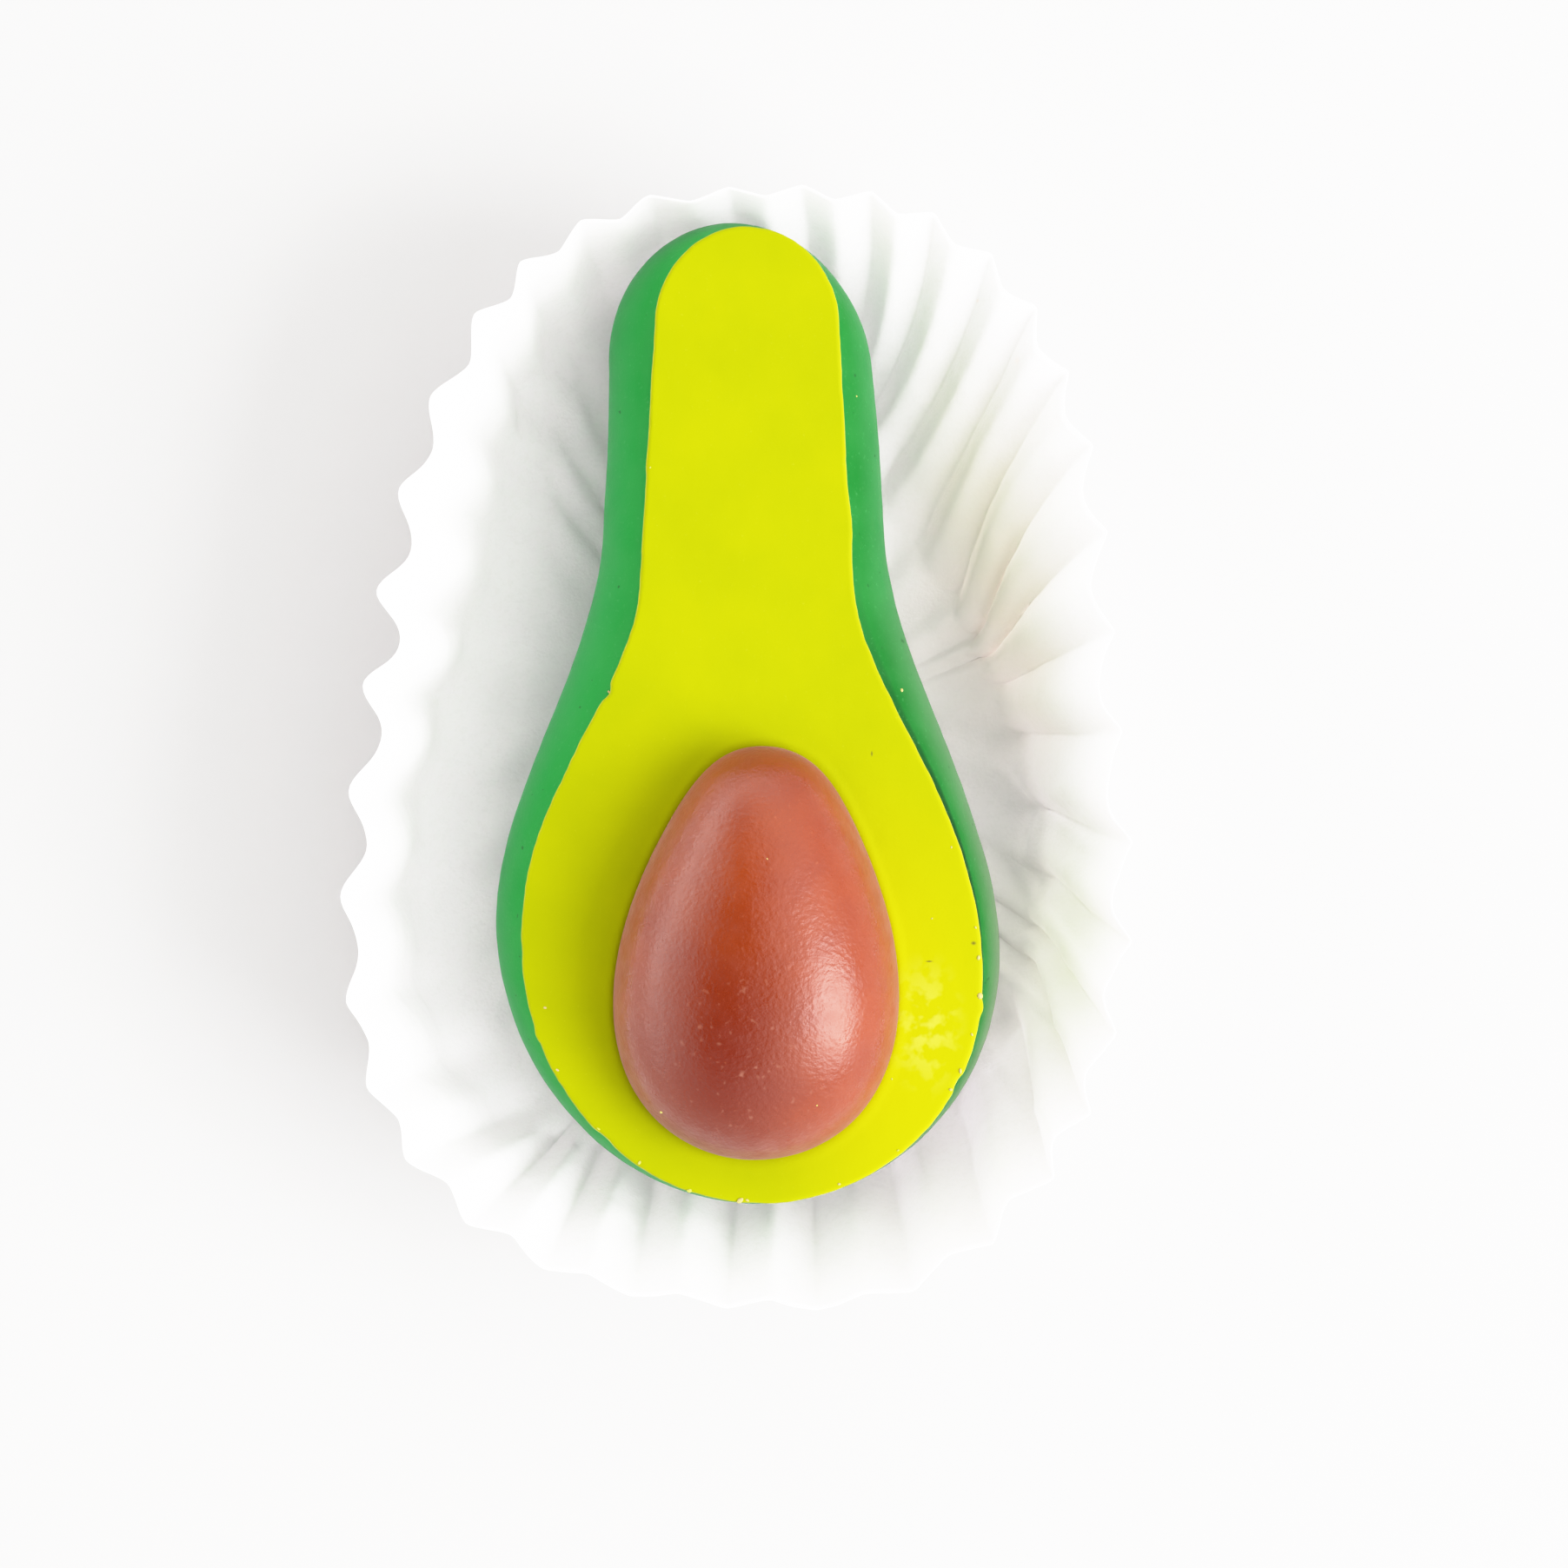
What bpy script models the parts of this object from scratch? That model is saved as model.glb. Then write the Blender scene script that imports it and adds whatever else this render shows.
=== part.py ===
"""Marzipan avocado half with its stone, lying in a fluted paper case that is pressed open.

All sizes are in metres, with +Z up. The avocado lies on its back along Y, neck toward +Y.
"""
import math

import bmesh
import bpy
import numpy as np

COLLECTION = "marzipan_avocado"

# Heights of the layers above the table
PAPER = 0.00040
GAP = 0.00030
FLANK_HEIGHT = 0.0104
SKIN_TOP = 0.0142
FACE_HEIGHT = 0.0166
EDGE_ROUNDING = 0.00028

# Pear outlines: ends along Y, belly radius and length, neck, head and the shoulder between them,
# and how far the axis and the head stand to the right
FACE_PEAR = dict(foot=-0.02618, head=0.02869, belly_r=0.01292, belly_l=0.0135, neck_low=0.00723,
                 neck_high=0.00486, head_r=0.00511, shoulder=0.02114, lag=1.16, axis=0.00055, head_sway=0.0)
FLANK_PEAR = dict(foot=-0.02690, head=0.02985, belly_r=0.01458, belly_l=0.0155, neck_low=0.00948,
                  neck_high=0.00715, head_r=0.00790, shoulder=0.02300, lag=0.96, axis=0.0003,
                  head_sway=-0.0010)
REST_PEAR = dict(foot=-0.0190, head=0.0170, belly_r=0.0078, belly_l=0.0095, neck_low=0.0046,
                 neck_high=0.0026, head_r=0.0030, shoulder=0.0170, lag=1.1, axis=0.0003, head_sway=0.0)
OVERHANG = 0.00012
BULGE_POWER = 1.8
KEEL_POWER = 2.2

# The centre line of the fruit sways a little to the right at the belly, and may sway again at the head
BELLY_SWAY = 0.0008
BELLY_SWAY_START = -0.004
HEAD_SWAY_START = 0.016
SWAY_LENGTH = 0.020

# Stone: an egg in plan, narrow end toward the neck, pressed into the flesh
STONE_LENGTH = 0.02318
STONE_WIDTH = 0.01555
STONE_X = 0.00119
STONE_Y = -0.01208
STONE_TAPER = 0.254
STONE_BLUNT = 0.20
STONE_LEAN = math.radians(2.3)
STONE_DOME = 0.0072
STONE_SUNK = 0.0006
DOME_POWER = 2.15

# Paper case: an oval rim on a smaller foot, with a wall whose lean changes around it
FLUTES = 38
RIM_X = 0.00012
RIM_Y = -0.00045
RIM_HALF_WIDTH = 0.0220
RIM_HALF_LENGTH = 0.0320
RIM_POWER = 2.6
RIM_EGG = 0.10
RIM_SHEAR = 0.03
WALL_SLANT = 0.0164
WALL_LEAN = 0.0022
FOOT_ROUNDING = 0.0012
FLUTE_DEPTH = 0.00060
FLUTE_AT_FOOT = 0.30
FLUTE_SHARPNESS = 1.3
HEAD_AT = math.radians(93)
HEAD_SPREAD = math.radians(20)
HEAD_DIP = 0.0030
HEAD_BOW = 0.0007
HEAD_FLATTENING = 0.55
# Each press on the wall: direction around the rim, spread, extra lean
WALL_PRESSES = (
    (math.radians(45), math.radians(32), 0.0090),
    (math.radians(150), math.radians(20), 0.0022),
    (math.radians(275), math.radians(50), 0.0042),
)
# Where the hand-pressed rim bulges or dips: direction around the rim, spread, outward distance
RIM_BULGES = (
    (math.radians(8), math.radians(16), -0.0005),
    (math.radians(50), math.radians(22), 0.0006),
    (math.radians(238), math.radians(20), -0.0008),
    (math.radians(284), math.radians(16), 0.0006),
)
# The flutes stand wider apart at the sides than at the ends
SPACING_SHIFT = 0.446
SPACING_SIN = 0.155
SPACING_COS = -0.56
SPACING_SIN_TWICE = -0.55

# Mesh density
SIDE_POINTS = 40
UPPER_RINGS = 4
LOWER_RINGS = 9
STONE_POINTS = 44
STONE_RINGS = 8
STEPS_PER_FLUTE = 8
WALL_STEPS = (0.28, 0.52, 0.76, 1.0)
SHARP_ANGLE = math.radians(40)


def ease(t):
    """Smooth rise from 0 to 1 while t goes from 0 to 1."""
    t = np.clip(t, 0.0, 1.0)
    return t * t * (3.0 - 2.0 * t)


def around(angle, centre, spread):
    """Bell shape on a circle: 1 at the centre direction, falling off over the spread."""
    apart = (angle - centre + math.pi) % (2.0 * math.pi) - math.pi
    return np.exp(-((apart / spread) ** 2))


def pear_half_width(y, pear):
    """Half-width of a pear outline at y: quarter-ellipse belly, eased shoulder, tapering neck, round head."""
    widest = pear["foot"] + pear["belly_l"]
    below = np.minimum(y - widest, 0.0) / pear["belly_l"]
    belly = pear["belly_r"] * np.sqrt(np.clip(1.0 - below**2, 0.0, 1.0))
    along = np.clip((y - widest) / (pear["head"] - widest), 0.0, 1.0)
    neck = pear["neck_low"] + (pear["neck_high"] - pear["neck_low"]) * along
    fall = ease(np.clip((y - widest) / pear["shoulder"], 0.0, 1.0) ** pear["lag"])
    into_head = np.clip(y - (pear["head"] - pear["head_r"]), 0.0, None) / pear["head_r"]
    upper = (pear["belly_r"] + (neck - pear["belly_r"]) * fall) * np.sqrt(np.clip(1.0 - into_head**2, 0.0, 1.0))
    return np.where(y < widest, belly, upper)


def pear_loop(pear, inset=0.0):
    """Closed pear outline as x, y points: up the right side from the foot, down the left side."""
    turn = np.linspace(0.0, math.pi, SIDE_POINTS + 1)
    middle = (pear["head"] + pear["foot"]) / 2.0
    half_length = (pear["head"] - pear["foot"]) / 2.0
    y = middle - half_length * np.cos(turn)
    half_width = pear_half_width(y, pear)
    half_width[[0, -1]] = 0.0
    centre = pear["axis"] + BELLY_SWAY * ease((BELLY_SWAY_START - y) / SWAY_LENGTH)
    centre = centre + pear["head_sway"] * ease((y - HEAD_SWAY_START) / SWAY_LENGTH)
    right = np.stack([centre + half_width, y], axis=1)
    left = np.stack([centre - half_width, y], axis=1)[-2:0:-1]
    loop = np.concatenate([right, left])
    along = np.roll(loop, -1, axis=0) - np.roll(loop, 1, axis=0)
    outward = np.stack([along[:, 1], -along[:, 0]], axis=1)
    outward /= np.linalg.norm(outward, axis=1, keepdims=True)
    return loop - inset * outward


def between(first, second, share):
    """Pear outline part of the way from the first to the second."""
    return {key: first[key] + (second[key] - first[key]) * share for key in first}


def new_object(name, mesh, collection, parent=None):
    """Object for a mesh, linked to a collection and hung on the shared empty."""
    obj = bpy.data.objects.new(name, mesh)
    obj.parent = parent
    collection.objects.link(obj)
    return obj


def stack_mesh(name, rings):
    """Closed mesh skinned through a stack of loops with equal counts, capped flat at both ends."""
    count = len(rings[0])
    bm = bmesh.new()
    layers = [[bm.verts.new(point) for point in ring] for ring in rings]
    for lower, upper in zip(layers, layers[1:]):
        for i in range(count):
            j = (i + 1) % count
            bm.faces.new((lower[i], lower[j], upper[j], upper[i]))
    bm.faces.new(layers[0][::-1])
    bm.faces.new(layers[-1])
    bmesh.ops.recalc_face_normals(bm, faces=bm.faces)
    mesh = bpy.data.meshes.new(name)
    bm.to_mesh(mesh)
    bm.free()
    return mesh


def at_height(loop, z):
    """Loop of x, y points lifted to height z."""
    return np.column_stack([loop, np.full(len(loop), z)])


def skin_mesh():
    """Green body: pear contours that narrow to a flat rest below and to the flesh above the flank."""
    rest_height = PAPER + GAP
    rings = []
    for step in range(LOWER_RINGS, 0, -1):
        down = step / LOWER_RINGS
        share = 1.0 - (1.0 - down**KEEL_POWER) ** (1.0 / KEEL_POWER)
        z = FLANK_HEIGHT + (rest_height - FLANK_HEIGHT) * down
        rings.append(at_height(pear_loop(between(FLANK_PEAR, REST_PEAR, share)), z))
    for step in range(UPPER_RINGS + 1):
        up = step / UPPER_RINGS
        z = FLANK_HEIGHT + (SKIN_TOP - FLANK_HEIGHT) * up
        share = up**BULGE_POWER
        rings.append(at_height(pear_loop(between(FLANK_PEAR, FACE_PEAR, share), OVERHANG * share), z))
    return stack_mesh("skin_body", rings)


def flesh_mesh():
    """Flesh slab: the face outline with a rounded upper edge."""
    underside = SKIN_TOP + GAP
    side_top = FACE_HEIGHT - EDGE_ROUNDING
    half_way = EDGE_ROUNDING * (1.0 - math.sqrt(0.5))
    rings = [
        at_height(pear_loop(FACE_PEAR), underside),
        at_height(pear_loop(FACE_PEAR), side_top),
        at_height(pear_loop(FACE_PEAR, half_way), FACE_HEIGHT - half_way),
        at_height(pear_loop(FACE_PEAR, EDGE_ROUNDING), FACE_HEIGHT),
    ]
    return stack_mesh("flesh_face", rings)


def egg_loop(scale=1.0, margin=0.0):
    """Egg outline in plan around the stone's centre, shrunk by scale or widened by a margin."""
    turn = np.linspace(0.0, 2.0 * math.pi, STONE_POINTS, endpoint=False)
    toward_neck = np.cos(turn)
    width = 1.0 - STONE_TAPER * toward_neck + STONE_BLUNT * np.clip(toward_neck, 0.0, None) ** 5
    across = -(STONE_WIDTH / 2.0 * scale + margin) * np.sin(turn) * width
    along = (STONE_LENGTH / 2.0 * scale + margin) * toward_neck
    x = STONE_X + across * math.cos(STONE_LEAN) + along * math.sin(STONE_LEAN)
    y = STONE_Y - across * math.sin(STONE_LEAN) + along * math.cos(STONE_LEAN)
    return np.stack([x, y], axis=1)


def stone_mesh():
    """Stone: egg loops that close over the dome, on a short upright foot sunk in the flesh."""
    rings = [at_height(egg_loop(), FACE_HEIGHT - STONE_SUNK)]
    for step in range(STONE_RINGS):
        climb = math.sin(step / STONE_RINGS * math.pi / 2.0)
        scale = (1.0 - climb**DOME_POWER) ** (1.0 / DOME_POWER)
        rings.append(at_height(egg_loop(scale), FACE_HEIGHT + STONE_DOME * climb))
    return stack_mesh("stone", rings)


def socket_mesh():
    """Cutter for the stone's seat in the flesh, one gap larger than the stone."""
    floor = FACE_HEIGHT - STONE_SUNK - GAP
    above = FACE_HEIGHT + STONE_DOME
    return stack_mesh("stone_socket", [at_height(egg_loop(margin=GAP), z) for z in (floor, above)])


def rim_oval(turn):
    """Outer oval of the case's rim: a superellipse, narrower at the neck end and sheared."""
    cosine = np.cos(turn)
    sine = np.sin(turn)
    across = np.sign(cosine) * np.abs(cosine) ** (2.0 / RIM_POWER)
    along = np.sign(sine) * np.abs(sine) ** (2.0 / RIM_POWER)
    y = RIM_HALF_LENGTH * along
    x = RIM_HALF_WIDTH * across * (1.0 - RIM_EGG * along) + RIM_SHEAR * y
    return np.stack([RIM_X + x, RIM_Y + y], axis=1)


def case_columns():
    """Rim points, outward directions, directions around the rim and flute phases, evenly along the flutes."""
    fine = rim_oval(np.linspace(0.0, 2.0 * math.pi, 7201))
    lengths = np.linalg.norm(np.diff(fine, axis=0), axis=1)
    around_rim = np.concatenate([[0.0], np.cumsum(lengths)]) / lengths.sum() * 2.0 * math.pi
    sway = SPACING_SIN * np.sin(around_rim) + SPACING_COS * np.cos(around_rim)
    sway = sway + SPACING_SIN_TWICE * np.sin(2.0 * around_rim) + SPACING_SHIFT
    flute = FLUTES * around_rim / (2.0 * math.pi) + sway
    wanted = flute[0] + np.arange(FLUTES * STEPS_PER_FLUTE) / STEPS_PER_FLUTE
    angle = np.interp(wanted, flute, around_rim)
    x = np.interp(angle, around_rim, fine[:, 0])
    y = np.interp(angle, around_rim, fine[:, 1])
    rim = np.stack([x, y], axis=1)
    along = np.roll(rim, -1, axis=0) - np.roll(rim, 1, axis=0)
    outward = np.stack([along[:, 1], -along[:, 0]], axis=1)
    outward /= np.linalg.norm(outward, axis=1, keepdims=True)
    bulge = sum(reach * around(angle, at, spread) for at, spread, reach in RIM_BULGES)
    return rim + outward * bulge[:, None], outward, angle, 2.0 * math.pi * wanted


def case_rows():
    """Rows of the case's outer surface, from the flat foot over its rounding and up the fluted wall."""
    rim, outward, angle, phase = case_columns()
    lean = WALL_LEAN + sum(extra * around(angle, at, spread) for at, spread, extra in WALL_PRESSES)
    near_head = around(angle, HEAD_AT, HEAD_SPREAD)
    height = np.sqrt(WALL_SLANT**2 - lean**2) - HEAD_DIP * near_head
    depth = FLUTE_DEPTH * (1.0 - HEAD_FLATTENING * near_head)
    wave = np.tanh(FLUTE_SHARPNESS * np.cos(phase)) / math.tanh(FLUTE_SHARPNESS) - 1.0

    def wall_point(up):
        advance = lean * (up - 1.0) + HEAD_BOW * near_head * math.sin(math.pi * up)
        swing = depth * (FLUTE_AT_FOOT + (1.0 - FLUTE_AT_FOOT) * ease(up * 1.6)) * wave
        flat = rim + outward * (advance + swing)[:, None]
        return np.column_stack([flat, height * up])

    foot = wall_point(0.0)
    base_edge = foot - np.column_stack([outward, np.zeros(len(outward))]) * FOOT_ROUNDING
    first_wall = wall_point(FOOT_ROUNDING / WALL_SLANT)
    rounding = 0.25 * base_edge + 0.5 * foot + 0.25 * first_wall
    return [base_edge, rounding, first_wall] + [wall_point(up) for up in WALL_STEPS]


def case_mesh(rows):
    """Open case surface: a fan over the flat base and quads up the wall, facing outward."""
    count = len(rows[0])
    bm = bmesh.new()
    layers = [[bm.verts.new(point) for point in row] for row in rows]
    middle = bm.verts.new(rows[0].mean(axis=0))
    for i in range(count):
        j = (i + 1) % count
        bm.faces.new((middle, layers[0][j], layers[0][i]))
        for lower, upper in zip(layers, layers[1:]):
            bm.faces.new((lower[i], lower[j], upper[j], upper[i]))
    mesh = bpy.data.meshes.new("paper_case")
    bm.to_mesh(mesh)
    bm.free()
    return mesh


def principled(name, colour, roughness):
    """Plain non-metallic material."""
    material = bpy.data.materials.new(name)
    material.use_nodes = True
    shader = material.node_tree.nodes["Principled BSDF"]
    shader.inputs["Base Color"].default_value = (*colour, 1.0)
    shader.inputs["Roughness"].default_value = roughness
    shader.inputs["Metallic"].default_value = 0.0
    return material


def finish(obj, material):
    """Give an object its material and smooth round shading with crisp edges."""
    obj.data.materials.append(material)
    obj.data.shade_smooth()
    obj.data.set_sharp_from_angle(angle=SHARP_ANGLE)


for old in list(bpy.data.objects):
    bpy.data.objects.remove(old, do_unlink=True)

parts = bpy.data.collections.new(COLLECTION)
cutters = bpy.data.collections.new("cutters")
bpy.context.scene.collection.children.link(parts)
bpy.context.scene.collection.children.link(cutters)

# The shared empty puts the middle of the case's outline at the origin
rows = case_rows()
outline = np.concatenate(rows)[:, :2]
middle = (outline.min(axis=0) + outline.max(axis=0)) / 2.0
centre = bpy.data.objects.new("centre", None)
centre.location = (-middle[0], -middle[1], 0.0)
parts.objects.link(centre)

case = new_object("paper_case", case_mesh(rows), parts, centre)
wall = case.modifiers.new("paper", "SOLIDIFY")
wall.thickness = PAPER
wall.offset = -1.0
finish(case, principled("white_paper", (0.90, 0.90, 0.88), 0.75))

skin = new_object("skin_body", skin_mesh(), parts, centre)
finish(skin, principled("green_marzipan", (0.06, 0.42, 0.11), 0.60))

flesh = new_object("flesh_face", flesh_mesh(), parts, centre)
socket = new_object("stone_socket", socket_mesh(), cutters, centre)
socket.hide_render = True
socket.display_type = "WIRE"
cut = flesh.modifiers.new("stone seat", "BOOLEAN")
cut.operation = "DIFFERENCE"
cut.object = socket
finish(flesh, principled("lime_marzipan", (0.72, 0.78, 0.01), 0.50))

stone = new_object("stone", stone_mesh(), parts, centre)
finish(stone, principled("brown_marzipan", (0.46, 0.10, 0.03), 0.40))
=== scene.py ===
"""A moulded marzipan avocado half in a fluted paper case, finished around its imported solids."""

import itertools
import math

import bmesh
import bpy
import numpy as np
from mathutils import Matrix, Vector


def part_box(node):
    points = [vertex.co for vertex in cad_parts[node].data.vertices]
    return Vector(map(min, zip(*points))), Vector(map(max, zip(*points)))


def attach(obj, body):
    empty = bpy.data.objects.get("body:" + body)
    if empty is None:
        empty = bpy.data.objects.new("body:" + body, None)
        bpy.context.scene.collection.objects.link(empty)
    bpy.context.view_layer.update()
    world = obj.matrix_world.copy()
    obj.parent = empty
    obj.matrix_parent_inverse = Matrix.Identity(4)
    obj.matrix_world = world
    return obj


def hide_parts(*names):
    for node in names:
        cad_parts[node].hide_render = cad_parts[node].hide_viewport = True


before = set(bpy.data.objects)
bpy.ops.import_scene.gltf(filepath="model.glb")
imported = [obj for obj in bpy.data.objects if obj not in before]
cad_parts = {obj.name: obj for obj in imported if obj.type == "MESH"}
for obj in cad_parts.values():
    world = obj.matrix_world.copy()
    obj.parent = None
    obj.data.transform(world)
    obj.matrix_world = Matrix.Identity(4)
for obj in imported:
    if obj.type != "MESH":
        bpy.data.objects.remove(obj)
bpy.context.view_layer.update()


# Table, camera and light. The sweet is seen from straight above on a white table. One soft light stands
# close by on the right, and the pale room is brightest low on the far left, with a dark patch overhead.

FACE_HEIGHT = 0.0166
CAMERA_REACH = 0.180
CAMERA_RIGHT = 0.001785
CAMERA_BELOW = 0.00388
LENS_LENGTH = 73.67
SENSOR_WIDTH = 36.0
NEAREST_SEEN = 0.005
TABLE_HALF = 1.5
TABLE_DROP = 0.00002
TABLE_WHITE = (0.46, 0.456, 0.453)
TABLE_CLOUD = (0.4531, 0.44916, 0.446205)
TABLE_CLOUD_SIZE = 0.05
TABLE_GLOSS = {"Roughness": 0.6, "Specular IOR Level": 0.15}
LIGHT_TURN = math.radians(-20)
LIGHT_CLIMB = math.radians(35)
LIGHT_REACH = 0.60
LIGHT_WIDTH = 0.40
LIGHT_HEIGHT = 0.40
LIGHT_POWER = 7.0
LIGHT_AIM = (0.0, 0.0, 0.01)
ROOM_COLOUR = (1.0, 0.995, 0.985, 1.0)
ROOM_FAR_TURN = math.radians(146)
ROOM_NEAR_WINDOW = 1.8
ROOM_FAR_SIDE = 7.5
ROOM_OVERHEAD = 3.1
# The room changes over between these shares of facing the far side, and of climbing
ROOM_FACING = (0.2, 0.95)
ROOM_CLIMB = (0.05, 0.55)
SHADE_MIDDLE = (-0.27, -0.05, 0.0)
SHADE_REACH = (0.62, 1.45, 1000.0)
SHADE_DEPTH = 0.97
SHADE_FULL = 0.7
HIGHLIGHT_KNEE = 0.70
HIGHLIGHT_END = 4.0
HIGHLIGHT_LEVELS = (0.25, 0.50, 0.70, 0.78, 0.86, 0.94, 1.05, 1.2, 1.4, 1.7, 2.1, 2.8)
DIFFUSE_BOUNCES = 10
ALL_BOUNCES = 14


def add_node(tree, kind, inputs=(), **settings):
    """Adds a shader node. Each input is a plain value or the socket that feeds it."""
    made = tree.nodes.new(kind)
    for name, value in settings.items():
        setattr(made, name, value)
    for key, value in dict(inputs).items():
        if isinstance(value, bpy.types.NodeSocket):
            tree.links.new(value, made.inputs[key])
        else:
            made.inputs[key].default_value = value
    return made


def rescale(tree, value, low, high, new_low=0.0, new_high=1.0):
    """Number socket that carries low to high over to new_low to new_high, held inside them."""
    limits = {0: value, 1: low, 2: high, 3: new_low, 4: new_high}
    return add_node(tree, "ShaderNodeMapRange", limits).outputs[0]


def mottle(tree, place, size, detail=2.0, seed=0.0):
    """Cloudy pattern from 0 to 1 whose patches are about size across, moved along by a seed."""
    away = (seed, seed * 0.7, seed * 1.3)
    moved = add_node(tree, "ShaderNodeVectorMath", {0: place, 1: away}, operation="ADD").outputs[0]
    noise = {"Vector": moved, "Scale": 1.0 / size, "Detail": detail}
    return add_node(tree, "ShaderNodeTexNoise", noise).outputs[0]


def clouds(tree, place, size, detail=3.0, seed=0.0, least=0.0, most=1.0):
    """Mottle stretched so that its patches go all the way from least to most."""
    return rescale(tree, mottle(tree, place, size, detail, seed), 0.3, 0.7, least, most)


def spot(tree, place, middle, reach):
    """Share that eases from 1 at the middle to 0 at a reach given along each axis."""
    aside = add_node(tree, "ShaderNodeVectorMath", {0: place, 1: middle}, operation="SUBTRACT").outputs[0]
    shrunk = add_node(tree, "ShaderNodeVectorMath", {0: aside, 1: reach}, operation="DIVIDE").outputs[0]
    away = add_node(tree, "ShaderNodeVectorMath", {0: shrunk}, operation="LENGTH").outputs["Value"]
    limits = {0: away, 1: 0.0, 2: 1.0, 3: 1.0, 4: 0.0}
    return add_node(tree, "ShaderNodeMapRange", limits, interpolation_type="SMOOTHSTEP").outputs[0]


def times(tree, first, second):
    """Product of two numbers or number sockets."""
    return add_node(tree, "ShaderNodeMath", {0: first, 1: second}, operation="MULTIPLY").outputs[0]


def tint(tree, share, first, second):
    """Colour socket that goes by a share from one colour to another, each a socket or three numbers."""
    ends = [end if isinstance(end, bpy.types.NodeSocket) else (*end, 1.0) for end in (first, second)]
    return add_node(tree, "ShaderNodeMix", {0: share, 6: ends[0], 7: ends[1]}, data_type="RGBA").outputs[2]


def new_finish(name):
    """New material with its node tree, its shader and the place on the piece that its patterns read."""
    material = bpy.data.materials.new(name)
    material.use_nodes = True
    tree = material.node_tree
    place = add_node(tree, "ShaderNodeTexCoord").outputs["Object"]
    return material, tree, tree.nodes["Principled BSDF"], place


def cover(tree, shader, colour, gloss):
    """Gives a shader its colour socket, and each even value straight on the shader's own socket."""
    tree.links.new(colour, shader.inputs["Base Color"])
    for name, value in gloss.items():
        shader.inputs[name].default_value = value


def soft_light():
    """Square lamp at a turn around and a climb above its aim, facing it."""
    lamp = bpy.data.lights.new("window_light", "AREA")
    lamp.shape = "RECTANGLE"
    lamp.size = LIGHT_HEIGHT
    lamp.size_y = LIGHT_WIDTH
    lamp.energy = LIGHT_POWER
    holder = bpy.data.objects.new("window_light", lamp)
    level = math.cos(LIGHT_CLIMB)
    away = (math.cos(LIGHT_TURN) * level, math.sin(LIGHT_TURN) * level, math.sin(LIGHT_CLIMB))
    holder.location = [LIGHT_AIM[axis] + LIGHT_REACH * away[axis] for axis in range(3)]
    holder.rotation_euler = (0.0, math.pi / 2.0 - LIGHT_CLIMB, LIGHT_TURN)
    return holder


def room():
    """World that is bright low on the far side and pale elsewhere and overhead, but for one dark patch."""
    world = bpy.data.worlds.new("pale_room")
    world.use_nodes = True
    tree = world.node_tree
    tree.nodes.clear()
    direction = add_node(tree, "ShaderNodeTexCoord").outputs["Generated"]
    far_side = (math.cos(ROOM_FAR_TURN), math.sin(ROOM_FAR_TURN), 0.0)
    faced = add_node(tree, "ShaderNodeVectorMath", {0: direction, 1: far_side}, operation="DOT_PRODUCT")
    side = rescale(tree, faced.outputs["Value"], *ROOM_FACING, ROOM_NEAR_WINDOW, ROOM_FAR_SIDE)
    up = add_node(tree, "ShaderNodeSeparateXYZ", {0: direction}).outputs[2]
    overhead = rescale(tree, up, *ROOM_CLIMB)
    open_room = add_node(tree, "ShaderNodeMix", {0: overhead, 2: side, 3: ROOM_OVERHEAD}).outputs[0]
    shade = spot(tree, direction, SHADE_MIDDLE, SHADE_REACH)
    kept = rescale(tree, shade, 0.0, SHADE_FULL, 1.0, 1.0 - SHADE_DEPTH)
    strength = times(tree, open_room, kept)
    light = add_node(tree, "ShaderNodeBackground", {"Color": ROOM_COLOUR, "Strength": strength})
    add_node(tree, "ShaderNodeOutputWorld", {0: light.outputs[0]})
    return world


def soften_highlights(mapping):
    """Response of a print: straight up to the knee, then 1 less a share that falls away exponentially."""
    mapping.white_level = (HIGHLIGHT_END, HIGHLIGHT_END, HIGHLIGHT_END)
    room_left = 1.0 - HIGHLIGHT_KNEE
    points = mapping.curves[3].points
    for level in HIGHLIGHT_LEVELS:
        rolled = 1.0 - room_left * math.exp(-(level - HIGHLIGHT_KNEE) / room_left)
        points.new(level / HIGHLIGHT_END, min(level, rolled) if level > HIGHLIGHT_KNEE else level)
    for point in points:
        point.handle_type = "VECTOR"
    mapping.update()


def table_finish():
    """White table top with the faintest clouding."""
    material, tree, shader, place = new_finish("white_table")
    cloud = clouds(tree, place, TABLE_CLOUD_SIZE, 2.0)
    cover(tree, shader, tint(tree, cloud, TABLE_WHITE, TABLE_CLOUD), TABLE_GLOSS)
    return material


view = bpy.context.scene.view_settings
view.view_transform = "Standard"
view.use_curve_mapping = True
soften_highlights(view.curve_mapping)
bpy.context.scene.cycles.diffuse_bounces = DIFFUSE_BOUNCES
bpy.context.scene.cycles.max_bounces = ALL_BOUNCES
bpy.context.scene.world = room()
bpy.context.scene.collection.objects.link(soft_light())

face_low, face_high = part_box("flesh_face")
camera_x = (face_low.x + face_high.x) / 2.0 + CAMERA_RIGHT
camera_y = (face_low.y + face_high.y) / 2.0 - CAMERA_BELOW
lens = bpy.data.cameras.new("camera")
lens.sensor_width = SENSOR_WIDTH
lens.lens = LENS_LENGTH
lens.clip_start = NEAREST_SEEN
camera = bpy.data.objects.new("camera", lens)
camera.location = (camera_x, camera_y, FACE_HEIGHT + CAMERA_REACH)
bpy.context.scene.collection.objects.link(camera)
bpy.context.scene.camera = camera

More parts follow.
